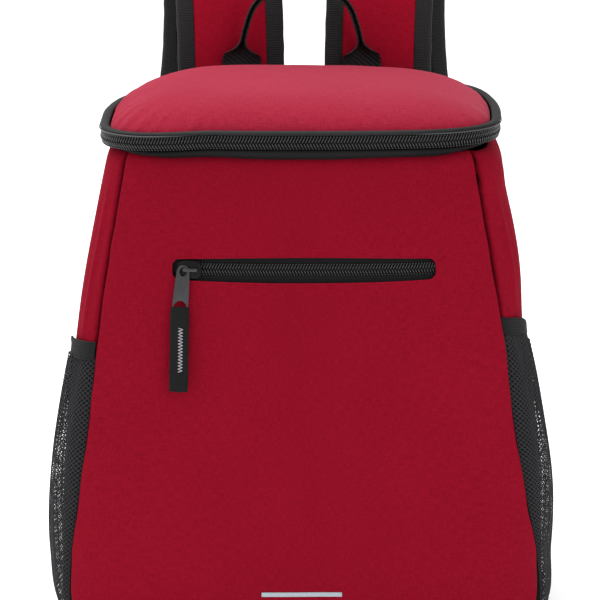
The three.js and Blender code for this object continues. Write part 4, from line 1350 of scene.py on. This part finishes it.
def netOffset(side, u, v):
    peak = net["peak"]
    away = (peak - u) / peak if u < peak else (u - peak) / (1 - peak)
    across = 1 - min(max(away, 0), 1) ** net["bulgePower"]
    power = net["foot"][side] if v < 0.5 else net["topPower"]
    upwards = math.sin(math.pi * mix(*net["upright"], v)) ** power * smoothStep(*net["floor"], v)
    slack = net["slack"][side] * (1 - smoothStep(*net["slackBelow"], v))
    upwards *= 1 + slack - net["taut"][side] * smoothStep(*net["tautAbove"], v)
    return net["edgeOffset"] + net["bulge"] * across * upwards + net["wall"]


def pocketAngle(side, z, u):
    sign = sides[side]
    tuck = net["tuck"] / panels["halfWidth"]
    return sign * mix(frontSeam(z, sign) - tuck, rearSeam(z) + tuck, u)


# A diagonal grid, trimmed to the pocket and drawn over it, with a hole in each cell
def makeNet(side):
    sign = sides[side]
    width, bandHeight = net["width"], pocketShapes["bandHeight"]
    height = pocketShapes[side]["top"] - bandHeight - panels["base"]

    def place(u, v):
        z = mix(panels["base"] + net["above"], bandTop(side, u) - bandHeight + net["under"], v)
        inside = smoothStep(0, net["gatherFade"], u) * smoothStep(0, net["gatherFade"], 1 - u)
        bend = net["gatherBend"] * ripple(u * 4, v * 2, sign * 7.0)
        fold = math.sin(2 * math.pi * net["gathers"] * u + bend)
        depth = net["gather"] * mix(net["gatherLow"], 1, smoothStep(*net["gatherAbove"], v)) * inside
        edge = net["edgeIn"] * (1 - smoothStep(0, net["edgeReach"], u))
        grow = netOffset(side, u, v) - edge + depth * fold * net["gatherShare"] + pinch(side, z)
        return outlinePoint(z, pocketAngle(side, z, u), grow)

    bm = bmesh.new()
    count = int((width + height) / net["pitch"] / net["crowd"])
    bmesh.ops.create_grid(bm, x_segments=count, y_segments=count, size=(width + height) / 2)
    turn = Matrix.Rotation(math.radians(45), 3, "Z")
    bmesh.ops.rotate(bm, verts=bm.verts, cent=(0, 0, 0), matrix=turn)
    for across, up in ((width / 2, 0), (-width / 2, 0), (0, height / 2), (0, -height / 2)):
        bmesh.ops.bisect_plane(
            bm, geom=bm.verts[:] + bm.edges[:] + bm.faces[:], plane_co=(across, up, 0),
            plane_no=Vector((across, up, 0)).normalized(), clear_outer=True,
        )
    for vert in bm.verts:
        vert.co = place(vert.co.x / width + 0.5, vert.co.y / height + 0.5) * mm
    bm.normal_update()
    faceOutwards(bm, (0, 0, 100))
    cells = bm.faces[:]
    bmesh.ops.inset_individual(bm, faces=cells, thickness=net["strand"] / 2 * mm, use_even_offset=True)
    bmesh.ops.delete(bm, geom=cells, context="FACES_ONLY")
    piece = addPiece("net" + side.capitalize(), bm, "netThread", ["pocket_net_" + side])
    thicken(piece, net["thread"])


band = {
    "wall": 1.3, "offset": {"left": 0.9, "right": 0.3}, "rearOffset": 0.1, "rearFrom": (0.3, 0.6),
    "edgeIn": 1.8, "edgeReach": 0.03, "roll": 0.6, "rollSpread": 0.16, "lowRoll": 0.4, "lowSpread": 0.14,
    "frill": 0.35, "fade": 0.06, "wave": 0.5,
}


def makeBand(side):
    sign = sides[side]

    def place(u, v):
        top = bandTop(side, u)
        z = mix(top - pocketShapes["bandHeight"], top, v)
        inside = smoothStep(0, band["fade"], u) * smoothStep(0, band["fade"], 1 - u)
        stand = mix(band["offset"][side], band["rearOffset"], smoothStep(*band["rearFrom"], u))
        stand -= band["edgeIn"] * (1 - smoothStep(0, band["edgeReach"], u))
        puff = band["roll"] * hump(v, 1.0, band["rollSpread"])
        puff += band["lowRoll"] * hump(v, 0.0, band["lowSpread"])
        frill = band["frill"] * ripple(u * 12, v * 0.8, sign * 3.0)
        grow = stand + (puff + frill) * inside + band["wall"] + pinch(side, z)
        rise = band["wave"] * ripple(u * 8, 0.0, sign * 9.0) * (0.3 + v)
        return outlinePoint(z, pocketAngle(side, z, u), grow) + Vector((0, 0, rise))

    bm = turnWeave(faceOutwards(shapedGrid(90, 14, place, (140, 11)), (0, 0, 180)))
    piece = addPiece("band" + side.capitalize(), bm, "elastic", ["pocket_band_" + side])
    soften(thicken(piece, band["wall"]))


for side in sides:
    makeNet(side)
    makeBand(side)
print("side pockets made")

# The front pocket's zip
zipTape = {
    "size": (170, 26), "margin": 6, "depth": 3.1, "bulge": 0.5, "spread": 0.18, "wall": 0.9, "ends": 4,
    "coil": {"length": 4.3, "width": 1.15, "height": 1.7, "lean": 24, "pitch": 1.75},
    "coilDepth": 1.9, "coilFrom": 13, "coilTo": 1.5, "up": (0, 0.17, 0.98),
}


def makePocketZip():
    half = pocketWindow["length"] / 2

    def place(u, v):
        x = mix(-1, 1, u) * (half + zipTape["margin"])
        inWindow = min(abs(x), half - zipTape["ends"])
        up = mix(-1, 1, v) * (windowHalfHeight(inWindow) + zipTape["margin"])
        bulge = zipTape["bulge"] * hump(v, 0.5, zipTape["spread"])
        return facePoint(x + pocketWindow["x"], up + pocketWindow["z"], bulge - zipTape["depth"])

    def middleLine(t):
        return facePoint(t, pocketWindow["z"], -zipTape["coilDepth"])

    bm = turnWeave(faceOutwards(shapedGrid(80, 14, place, zipTape["size"]), (0, 0, pocketWindow["z"])))
    piece = addPiece("pocketTape", bm, "zipTape", ["pocket_zip_tape"])
    thicken(piece, zipTape["wall"])
    start = pocketWindow["x"] - half + zipTape["coilFrom"]
    end = pocketWindow["x"] + half - zipTape["coilTo"]
    up = Vector(zipTape["up"])
    makeCoil("pocketCoil", middleLine, start, end, zipTape["coil"], up, ["pocket_zip_coil"])


makePocketZip()
print("pocket zip made")

# The pocket's slider, in its own place: x along the zip, y up the panel, z outwards
slider = {
    "length": 14.4, "height": 10, "thickness": 2.2, "fromEnd": 10.4, "foot": -0.1, "corner": 0.75,
    "edge": 0.7,
    # along, aside, up: the wings that hold the coil
    "wing": [(-5.4, 3.9, -0.2), (-3, 4.7, 0.2), (1, 4.9, 0.3), (5, 4.6, 0.2), (6.6, 3.9, -0.2)],
    "wingSize": (1.3, 1.9),
    "bailFrom": 4, "bailLength": 9.4, "bailWire": 1.3, "bailDepth": 2.2, "bailSunk": 0.6,
    "bailBend": [(0, -1.5), (0.35, -0.4), (1.3, 0)],  # inwards, and up to its roof
    "clearance": 0.5,
}
# The metal pull hangs from the bail, its eye at the middle
pull = {
    "thickness": 1.2, "length": 27, "topWidth": 8.0, "bottomWidth": 10.3, "edge": 0.28, "lean": 4,
    "eyeRadius": 2.1, "eyeHeight": 5.4, "eyeDrop": 1.2, "eyeToTop": 3.9,
    "slotWidth": 7.9, "slotHeight": 4.2, "bar": 1.4,
    "topPower": 0.9, "endPowers": (0.22, 0.28), "slotPower": 0.5,
}
# The webbing grip, folded over the bar below the pull's slot
grip = {
    "width": 11.3, "length": 48.6, "thickness": 2.4, "turn": 4, "overBar": 0.6,
    "bow": 0.35, "bows": 7.0, "fold": 1.1, "foldReach": 2.2, "shoulder": 0.06, "shoulderReach": 1.2,
    "fray": 0.9, "frayEdge": 0.5, "frayFrom": 0.95, "melt": 0.5, "meltFrom": 0.965, "meltWaist": 0.05,
    "waist": 0.025, "softEdge": 0.55, "softFrom": 0.38, "softEnd": 0.75, "endFrom": 0.472,
}
stitch = {
    "from": 12.6, "to": 39.2, "half": 1.45, "step": 0.95, "thread": 0.52, "shift": 0.9, "proud": 0.05,
    "overlap": 0.3,
}


def sliderMatrix():
    x = pocketWindow["x"] - pocketWindow["length"] / 2 + slider["fromEnd"]
    z = pocketWindow["z"]
    half = slider["length"] / 2
    along = (facePoint(x + half, z) - facePoint(x - half, z)).normalized()
    up = facePoint(x, z + slider["height"] / 2) - facePoint(x, z - slider["height"] / 2)
    outwards = along.cross(up).normalized()
    return basisMatrix(facePoint(x, z), along, outwards.cross(along), outwards)


def pullGap():
    return pull["thickness"] + 2 * slider["clearance"]


def pullMatrix():
    x = -slider["length"] / 2 + slider["bailFrom"]
    out = slider["foot"] + slider["thickness"] + pullGap() / 2
    hang = Matrix.Translation(Vector((x, 0, out)) * mm)
    return sliderMatrix() @ hang @ Matrix.Rotation(-math.radians(pull["lean"]), 4, "Z")


def pullEnds():
    top = pull["eyeToTop"] - pull["eyeDrop"]
    return top, top - pull["length"]


def gripMatrix():
    lift = Matrix.Translation(Vector((0, pullEnds()[1] + pull["bar"] / 2, 0)) * mm)
    return pullMatrix() @ lift @ Matrix.Rotation(math.radians(grip["turn"]), 4, "Z")


# A flat plate from its outline and the outlines of its holes, with rounded edges
def plateFrom(loops, thickness, radius, segments=2):
    bm = bmesh.new()
    for count, placeOf in loops:
        ring = bmesh.ops.create_circle(bm, segments=count, radius=1)["verts"]
        for i, vert in enumerate(ring):
            x, y = placeOf(i / count)
            vert.co = (x * mm, y * mm, -thickness / 2 * mm)
    bmesh.ops.triangle_fill(bm, use_beauty=True, edges=bm.edges[:])
    raisePlate(pointOut(bm), thickness)
    roundEdges(bm, sharpEdges(bm, 1.0), radius, segments)
    return bm


def unitPoint(share):
    turn = share * 2 * math.pi
    return math.cos(turn), math.sin(turn)


def squared(value, power):
    return math.copysign(min(abs(value) ** power, 1), value)


def roundedOutline(width, height, corner):
    power = 2.0 / (2.2 + 6 * (1 - corner))

    def placeOf(share):
        x, y = unitPoint(share)
        return squared(x, power) * width / 2, squared(y, power) * height / 2

    return placeOf


def pullOutline(share):  # a narrow round top that widens to a square end
    x, y = unitPoint(share)
    top, bottom = pullEnds()
    neck = -pull["eyeRadius"]
    if y >= 0:
        power = pull["topPower"]
        return pull["topWidth"] / 2 * squared(x, power), neck + (top - neck) * squared(y, power)
    down = -squared(y, pull["endPowers"][1])
    reach = mix(pull["topWidth"], pull["bottomWidth"], down) / 2
    return reach * squared(x, pull["endPowers"][0]), mix(neck, bottom, down)


def eyeOutline(share):
    x, y = unitPoint(share)
    return pull["eyeRadius"] * x, -pull["eyeDrop"] + pull["eyeHeight"] / 2 * y


def slotOutline(share):  # a flat sill and an arched top
    x, y = unitPoint(share)
    sill = pullEnds()[1] + pull["bar"]
    across = x if y > 0 else squared(x, pull["slotPower"])
    return pull["slotWidth"] / 2 * across, sill + pull["slotHeight"] * max(y, 0)


# Adds a round bar that follows a route, its width across the side given
def joinTube(bm, route, around, width, depth, side):
    def place(u, v):
        spot, along, _ = route(u)
        outwards = side.cross(along).normalized()
        turn = 2 * math.pi * round(v * around) / around
        return spot + side * math.cos(turn) * width / 2 + outwards * math.sin(turn) * depth / 2

    tube = closeEnds(shapedGrid(40, around, place, (10, 3), closes=True), around)
    mesh = meshFrom("tube", tube)
    bm.from_mesh(mesh)
    bpy.data.meshes.remove(mesh)


def makeSlider():
    length, thick, foot = slider["length"], slider["thickness"], slider["foot"]
    outline = roundedOutline(length, slider["height"], slider["corner"])
    bm = plateFrom([(40, outline)], thick, slider["edge"], 3)
    bmesh.ops.translate(bm, verts=bm.verts, vec=Vector((0, 0, foot + thick / 2)) * mm)
    for way in (-1, 1):
        line = [Vector((x, way * y, foot + z, 0)) for x, y, z in slider["wing"]]
        joinTube(bm, routeThrough(line), 8, *slider["wingSize"], Vector((0, 1, 0)))
    bmesh.ops.transform(bm, matrix=sliderMatrix(), verts=bm.verts)
    addPiece("pocketSlider", bm, "sliderMetal", ["pocket_zip_slider"])


def makeBail():
    wire = slider["bailWire"]
    start = -slider["length"] / 2 + slider["bailFrom"]
    end = start + slider["bailLength"] - wire
    top = slider["foot"] + slider["thickness"]
    roof = top + pullGap() + wire / 2
    climb = [(0, top - slider["bailSunk"])] + [(x, roof + z) for x, z in slider["bailBend"]]
    line = [(start + x, z) for x, z in climb] + [(end - x, z) for x, z in climb[::-1]]
    bm = bmesh.new()
    hoop = routeThrough([Vector((x, 0, z, 0)) for x, z in line])
    joinTube(bm, hoop, 10, slider["bailDepth"], wire, Vector((0, 1, 0)))
    bmesh.ops.transform(bm, matrix=sliderMatrix(), verts=bm.verts)
    addPiece("pocketBail", bm, "bailMetal")


def makePull():
    loops = [(64, pullOutline), (28, eyeOutline), (32, slotOutline)]
    bm = plateFrom(loops, pull["thickness"], pull["edge"])
    bmesh.ops.transform(bm, matrix=pullMatrix(), verts=bm.verts)
    addPiece("pullTab", bm, "darkMetal", ["zip_pull_tab"], "pull")


def gripTop():
    return pull["bar"] / 2 + grip["overBar"]


def gripLength():
    return grip["length"] + gripTop() + pull["bar"]


def gripBow(down):
    return grip["bow"] * math.sin(down * grip["bows"])


def makeGrip():
    width, length, thick = grip["width"], gripLength(), grip["thickness"]

    def place(x, y, z):
        down = 0.5 - y
        fold = grip["fold"] * math.exp(-down * length / grip["foldReach"])
        shoulder = 1 - grip["shoulder"] * math.exp(-down * length / grip["shoulderReach"])
        fray = grip["fray"] * ripple(x * 9, 1.0, 5.0) - grip["frayEdge"] * abs(x)
        fray *= smoothStep(grip["frayFrom"], 1, down)
        melted = grip["melt"] * smoothStep(grip["meltFrom"], 1, down)
        edge = 1 - grip["softEdge"] * smoothStep(grip["softFrom"], 0.5, abs(x)) ** 2
        end = 1 - grip["softEnd"] * smoothStep(grip["endFrom"], 0.5, abs(y)) ** 2
        waist = 1 + grip["waist"] * ripple(down * 9, 0.0, 7.0) - grip["meltWaist"] * melted
        through = z * (thick + fold + grip["melt"] * melted) * edge * end
        across = x * width * shoulder * waist
        return Vector((across, gripTop() - down * length - fray, through + gripBow(down)))

    bm = shapedBlock((14, 60, 4), place, (width, length, thick))
    bmesh.ops.transform(bm, matrix=gripMatrix(), verts=bm.verts)
    addPiece("pullWebbing", bm, "pullWebbing", ["zip_pull_webbing"], "pull")


def makeGripStitch():  # a plain zigzag down the grip
    step, width = stitch["step"], 2 * stitch["half"]
    spots = []
    for i in range(int((stitch["to"] - stitch["from"]) / step)):
        lean = math.atan2(step, width) * (1 if i % 2 else -1)
        down = stitch["from"] + (i + 0.5) * step
        out = grip["thickness"] / 2 + gripBow(down / gripLength()) + stitch["proud"]
        place = Matrix.Translation(Vector((stitch["shift"], gripTop() - down, out)) * mm)
        spots.append(place @ Matrix.Rotation(lean, 4, "Z"))
    thread = stitch["thread"]
    bead = beadMesh(math.hypot(width, step) + stitch["overlap"], thread, thread, 6, 10)
    bm = stampAll(bmesh.new(), bead, spots)
    bmesh.ops.transform(bm, matrix=gripMatrix(), verts=bm.verts)
    addPiece("pullStitch", bm, "paleThread", body="pull")


reflector = {"width": 49, "height": 2.8, "up": 35, "proud": 0.5, "wall": 0.4}


def makeReflector():
    def place(u, v):
        x = (u - 0.5) * reflector["width"]
        z = reflector["up"] + (v - 0.5) * reflector["height"]
        return facePoint(x, z, frontRelief(x, z) + reflector["proud"])

    bm = faceOutwards(shapedGrid(40, 4, place, (49, 3)), (0, 0, reflector["up"]))
    piece = addPiece("reflectiveStrip", bm, "reflective", ["reflective_strip"])
    thicken(piece, reflector["wall"])


makeSlider()
makeBail()
makePull()
makeGrip()
makeGripStitch()
makeReflector()
print("slider, pull and strip made")

# Shoulder straps
strap = {
    "left": 11.5, "right": 15,  # from the bag's middle to the inner edge
    "width": 67.5, "length": 470, "binding": 11, "cloth": 1, "pad": 4.8, "bulge": 2.6, "clearance": 0.5,
    "rootDrop": 36, "rise": 146, "reach": 104, "splay": 36, "standOff": 3.3,
    # out, behind, up: shares of splay, reach and rise
    "route": [
        (0, -0.012, 0), (0, 0.026, 0.22), (0, 0.03, 0.38), (0.01, 0.045, 0.54), (0.04, 0.09, 0.71),
        (0.1, 0.18, 0.87), (0.17, 0.34, 0.98), (0.24, 0.53, 1), (0.3, 0.72, 0.94), (0.33, 0.86, 0.8),
        (0.345, 0.93, 0.61), (0.38, 0.945, 0.36), (0.48, 0.925, 0.1), (0.64, 0.87, -0.2),
        (0.82, 0.79, -0.46), (1, 0.705, -0.69),
    ],
    "facePuff": 1.1, "faceSag": 0.35, "faceUnder": 0.1, "faceOver": 0.4, "faceGap": 0.2,
    "padGap": 0.6, "padPower": 3.5, "padUneven": 0.25,
    "tapeOut": 0.25, "tapeWave": 0.8, "tapeSwell": 0.5, "tapeThicker": 0.05,
    # from the tape's lip or the strap's edge, and from the outer face: half of its outer section
    "tapeLip": [(0, -0.25), (1.2, 0.05), (5, 0.1)],
    "tapeEdge": [(-2.2, 0.15), (-0.5, -0.6), (0.1, -2.2)],
    "tapeBend": 2.6,
    "webbing": 25, "webbingThickness": 1.5, "webbingEdge": 0.6,
    "seatGap": 0.9,  # between webbing and the plate or tab that it lies on
    "buckle": (34, 27, 4), "rail": 4, "buckleCorner": 1.2, "buckleEdge": 0.8, "buckleGap": 0.3,
    "anchorWidth": 36, "anchorHeight": 30, "anchorUp": 14, "anchorOut": 96, "anchorWall": 1.5,
    "anchorOff": 0.4,
}
strap["half"] = strap["pad"] / 2 + strap["clearance"] + strap["cloth"]
strap["seat"] = form["backReach"] + strap["webbingThickness"] + strap["standOff"] + strap["half"]


def strapRoute(side):
    points = []
    for out, behind, up in strap["route"]:
        x = sides[side] * (strap[side] + strap["width"] / 2 + out * strap["splay"])
        y = strap["seat"] + behind * strap["reach"]
        points.append(Vector((x, y, form["height"] - strap["rootDrop"] + up * strap["rise"], 0)))
    return routeThrough(points)


def levelFrame(route, t):
    place, along, _ = route(t)
    level = Vector((1, 0, 0))
    across = (level - along * level.dot(along)).normalized()
    return place, across, across.cross(along), along


def onStrap(route, t, a, b):
    place, across, outwards, _ = levelFrame(route, t)
    return place + across * a + outwards * b


def makeStrapFace(side, route):
    half = strap["width"] / 2 - strap["binding"] - strap["faceGap"] + strap["faceOver"]
    foot = strap["pad"] / 2 + strap["clearance"]

    def place(x, y, z):
        t = y + 0.5
        sag = strap["faceSag"] * ripple(x * 2.5, t * 16, sides[side] * 5.0)
        puff = strap["facePuff"] * (1 - (2 * x) ** 2) ** 0.5 + sag - strap["faceSag"]
        b = foot + (z + 0.5) * strap["cloth"] + (puff if z > 0 else -strap["faceUnder"])
        return onStrap(route, t, 2 * x * half, b)

    bm = shapedBlock((18, 190, 1), place, (48, strap["length"], 1))
    name, node = "strapFace" + side.capitalize(), "strap_face_" + side
    piece = soften(addPiece(name, bm, "strapCloth", [node]))


def makeStrapPad(side, route):
    half = strap["width"] / 2 - strap["cloth"] - strap["padGap"]

    def place(x, y, z):
        t = y + 0.5
        uneven = 1 + strap["padUneven"] * ripple(t * 14, x * 2, 9.0)
        swell = strap["bulge"] * (1 - abs(2 * x) ** strap["padPower"]) * uneven
        return onStrap(route, t, 2 * x * half, strap["pad"] * z - (swell * (0.5 - z) if z < 0 else 0))

    bm = shapedBlock((22, 190, 4), place, (66, strap["length"], 5))
    name, node = "strapPad" + side.capitalize(), "strap_pad_" + side
    piece = addPiece(name, bm, "spacerMesh", [node])


# The folded tape's closed section: out along its outer face and back along its inner one
def bindingProfile():
    edge, half, wall, bend = strap["width"] / 2, strap["half"], strap["cloth"], strap["tapeBend"]
    lip = edge - strap["binding"]
    front = [(lip + a, half + b) for a, b in strap["tapeLip"]]
    front += [(edge + a, half + b) for a, b in strap["tapeEdge"]]
    behind = [(a, -b) for a, b in front[::-1]]
    inside = [
        (lip, wall - half), (lip + 5, wall - half), (edge - bend, wall - half), (edge - wall, bend - half),
    ]
    return front + behind + inside + [(a, -b) for a, b in inside[::-1]]


def makeBinding(side, route, end, toward):
    profile = [(toward * a, b) for a, b in bindingProfile()]
    around = len(profile)

    def place(u, v):
        a, b = profile[round(v * around) % around]
        wave = strap["tapeWave"] * ripple(u * 22, sides[side] * 3.0, toward * 2.0)
        swell = strap["tapeSwell"] * ripple(u * 60, v * 3, toward * 7.0) + wave
        away = toward * (strap["tapeOut"] + swell * strap["tapeSwell"])
        return onStrap(route, u, a + away, b * (1 + strap["tapeThicker"] * swell))

    bm = shapedGrid(190, around, place, (strap["length"], 30), closes=True)
    name = "strapBinding" + end + side.capitalize()
    node = "strap_binding_" + end.lower() + "_" + side
    addPiece(name, turnWeave(closeEnds(bm, around)), "grosgrain", [node])


def makeBuckle(side, route):
    place, across, _, along = levelFrame(route, 1)
    width, height, thick = strap["buckle"]
    rail = strap["rail"]
    xs = [-width / 2, -width / 2 + rail, width / 2 - rail, width / 2]
    ys = [-height / 2, -height / 2 + rail, -rail / 2, rail / 2, height / 2 - rail, height / 2]
    bm = bmesh.new()
    bmesh.ops.create_grid(bm, x_segments=3, y_segments=5, size=0.5)
    middles = {f: f.calc_center_median() for f in bm.faces}
    holes = [f for f, spot in middles.items() if abs(spot.x) < 0.1 and 0.15 < abs(spot.y) < 0.25]
    bmesh.ops.delete(bm, geom=holes, context="FACES")
    for vert in bm.verts:
        column, row = round((vert.co.x + 0.5) * 3), round((vert.co.y + 0.5) * 5)
        vert.co = (xs[column] * mm, ys[row] * mm, -thick / 2 * mm)
    raisePlate(bm, thick)
    uprights = [
        e for e in bm.edges
        if abs(e.verts[0].co.z - e.verts[1].co.z) > thick * mm / 2 and e.calc_face_angle(0) > 1
    ]
    roundEdges(bm, uprights, strap["buckleCorner"], 3)
    roundEdges(bm, sharpEdges(bm, 0.9), strap["buckleEdge"], 2)
    middle = place + along * (height / 2 + strap["buckleGap"])
    seat = basisMatrix(middle, across, -along, across.cross(-along))
    bmesh.ops.transform(bm, matrix=seat, verts=bm.verts)
    name, node = "strapBuckle" + side.capitalize(), "strap_buckle_" + side
    addPiece(name, bm, "blackPlastic", [node])


def backPoint(side, out, z, off):
    return facePoint(sides[side] * out, z, off, False)


def seatedPoint(side, across, z, off):  # at the webbing's sewn end
    seat = strap["anchorWall"] + strap["seatGap"] + strap["webbingThickness"] / 2
    spot = backPoint(side, strap["anchorOut"] - strap["webbing"] / 2, z, seat + off)
    return Vector((sides[side] * strap["anchorOut"] + across, spot.y, spot.z))


def makeLowerWebbing(side, route):
    place, _, outwards, along = levelFrame(route, 1)
    _, height, plate = strap["buckle"]
    thick = strap["webbingThickness"]
    start = place + along * strap["rail"] - outwards * (plate / 2 + strap["seatGap"] + thick / 2)
    line = [start, start + along * height * 0.6, start + along * height * 1.3]
    for share, off in ((1.2, 1.5), (0.7, 0), (0.2, 0)):
        line.append(seatedPoint(side, 0, strap["anchorUp"] + strap["anchorHeight"] * share, off))
    lower = routeThrough([p.to_4d() for p in line])
    steps = 110

    def ribbon(x, y, z):
        spot, aside, out, _ = levelFrame(lower, y + 0.5)
        edge = 1 - strap["webbingEdge"] * smoothStep(0.36, 0.5, abs(x)) ** 2
        return spot + aside * x * strap["webbing"] + out * (z * thick * edge)

    bm = shapedBlock((8, steps, 1), ribbon, (strap["webbing"], steps * 2.4, thick))
    name, node = "strapWebbing" + side.capitalize(), "strap_webbing_" + side
    addPiece(name, bm, "webbing", [node])


def makeAnchor(side):
    def place(x, y, z):
        v = y + 0.5
        wide = mix(strap["anchorWidth"], strap["webbing"], v)
        wall = strap["anchorWall"] * (1 - 0.5 * smoothStep(0.4, 0.5, max(abs(x), abs(y))))
        out = strap["anchorOut"] + sides[side] * x * wide
        up = strap["anchorUp"] + v * strap["anchorHeight"]
        return backPoint(side, out, up, strap["anchorOff"] + (z + 0.5) * wall)

    bm = shapedBlock((12, 12, 1), place, (strap["anchorWidth"], strap["anchorHeight"], 1.5))
    name, node = "strapAnchor" + side.capitalize(), "strap_anchor_" + side
    addPiece(name, bm, "webbing", [node])


sewnBox = {"half": (9.0, 7.5), "up": 0.36, "pitch": 2.9, "bead": (2.3, 0.55, 0.4), "proud": 0.05}


def makeAnchorStitch(side):  # a sewn box with its cross, over the webbing's end
    wide, tall = sewnBox["half"]
    corners = [(-wide, -tall), (wide, -tall), (wide, tall), (-wide, tall)]
    runs = [*zip(corners, corners[1:] + corners[:1]), (corners[0], corners[2]), (corners[1], corners[3])]
    up = strap["anchorUp"] + strap["anchorHeight"] * sewnBox["up"]
    off = strap["webbingThickness"] / 2 + sewnBox["proud"]
    spots = []
    for (x0, z0), (x1, z1) in runs:
        direction = Vector((x1 - x0, 0, z1 - z0)).normalized()
        count = int(math.hypot(x1 - x0, z1 - z0) / sewnBox["pitch"])
        for i in range(count):
            share = (i + 0.5) / count
            spot = seatedPoint(side, mix(x0, x1, share), up + mix(z0, z1, share), off)
            aside = direction.cross(Vector((0, -1, 0)))
            spots.append(basisMatrix(spot, direction, aside, Vector((0, 1, 0))))
    bm = pointOut(stampAll(bmesh.new(), beadMesh(*sewnBox["bead"], 4, 6), spots))
    addPiece("strapStitch" + side.capitalize(), bm, "blackThread")


def makeStrap(side):
    route = strapRoute(side)
    makeStrapFace(side, route)
    makeStrapPad(side, route)
    makeBinding(side, route, "Inner", -sides[side])
    makeBinding(side, route, "Outer", sides[side])
    makeBuckle(side, route)
    makeLowerWebbing(side, route)
    makeAnchor(side)
    makeAnchorStitch(side)


# Carry handle
handle = {
    "span": 75, "rootDrop": 34, "rise": 114, "fold": 83, "foldRadius": 1.6, "webbing": 25,
    "thickness": 1.5, "seat": 4.8, "softEdge": 0.5,
    # across, ahead, up, fold
    "route": [
        (1, 0.16, 0, 0), (1, 0, 0.24, 0), (1.01, 0, 0.42, 0), (1.02, 0.02, 0.53, 0.03),
        (1.02, 0.06, 0.59, 0.3), (1.0, 0.14, 0.66, 0.92), (0.94, 0.2, 0.75, 1), (0.8, 0.22, 0.87, 1),
        (0.5, 0.24, 0.96, 1), (0, 0.25, 1, 1),
    ],
}


def handleRoute():
    seat = form["backReach"] + handle["seat"] + handle["thickness"] / 2
    half = []
    for across, ahead, up, fold in handle["route"]:
        x, y = across * handle["span"] / 2, seat - ahead * handle["webbing"]
        half.append(Vector((x, y, form["height"] - handle["rootDrop"] + up * handle["rise"], fold)))
    mirrored = [Vector((-p.x, p.y, p.z, p.w)) for p in half[:-1]]
    return routeThrough(mirrored + half[::-1])


def makeHandle():
    route = handleRoute()
    bend = handle["foldRadius"]

    def place(x, y, z):
        spot, along, fold = route(y + 0.5)
        ahead = Vector((0, -1, 0))
        ahead = (ahead - along * ahead.dot(along)).normalized()
        across = along.cross(ahead)
        turn = math.radians(handle["fold"]) * min(max(fold, 0), 1)
        out = x * handle["webbing"]
        length = math.sqrt(out * out + bend * bend)
        slope = out / length
        edge = 1 - handle["softEdge"] * smoothStep(0.4, 0.5, abs(x)) ** 2
        normal = Vector((-math.sin(turn) * slope, 1 - (1 - math.cos(turn)) * abs(slope))).normalized()
        normal *= z * handle["thickness"] * edge
        a, b = out * math.cos(turn) + normal.x, (length - bend) * math.sin(turn) + normal.y
        return spot + across * a + ahead * b

    bm = shapedBlock((14, 210, 1), place, (handle["webbing"], 330, 1.5))
    soften(addPiece("carryHandle", bm, "twill", ["carry_handle"]))


lidSlider = {
    "length": 15, "height": 10.5, "thickness": 3.0, "corner": 0.7, "edge": 0.9, "out": 7.4,
    "fromHinge": 0.12,  # radians
}


def makeLidSlider():
    angle = math.pi - hingeAngle() - lidSlider["fromHinge"]
    z = rim["middle"]
    along = (rimPoint(angle + 0.01, 0, 311) - rimPoint(angle - 0.01, 0, 311)).normalized()
    up = Vector((0, 0, 1))
    outline = roundedOutline(lidSlider["length"], lidSlider["height"], lidSlider["corner"])
    bm = plateFrom([(32, outline)], lidSlider["thickness"], lidSlider["edge"])
    seat = basisMatrix(rimPoint(angle, lidSlider["out"], z), along, up, along.cross(up))
    bmesh.ops.transform(bm, matrix=seat, verts=bm.verts)
    addPiece("lidSlider", bm, "darkMetal", ["lid_slider"])


for side in sides:
    makeStrap(side)
makeHandle()
print("straps and handle made")
makeLidSlider()
print("lid slider made")
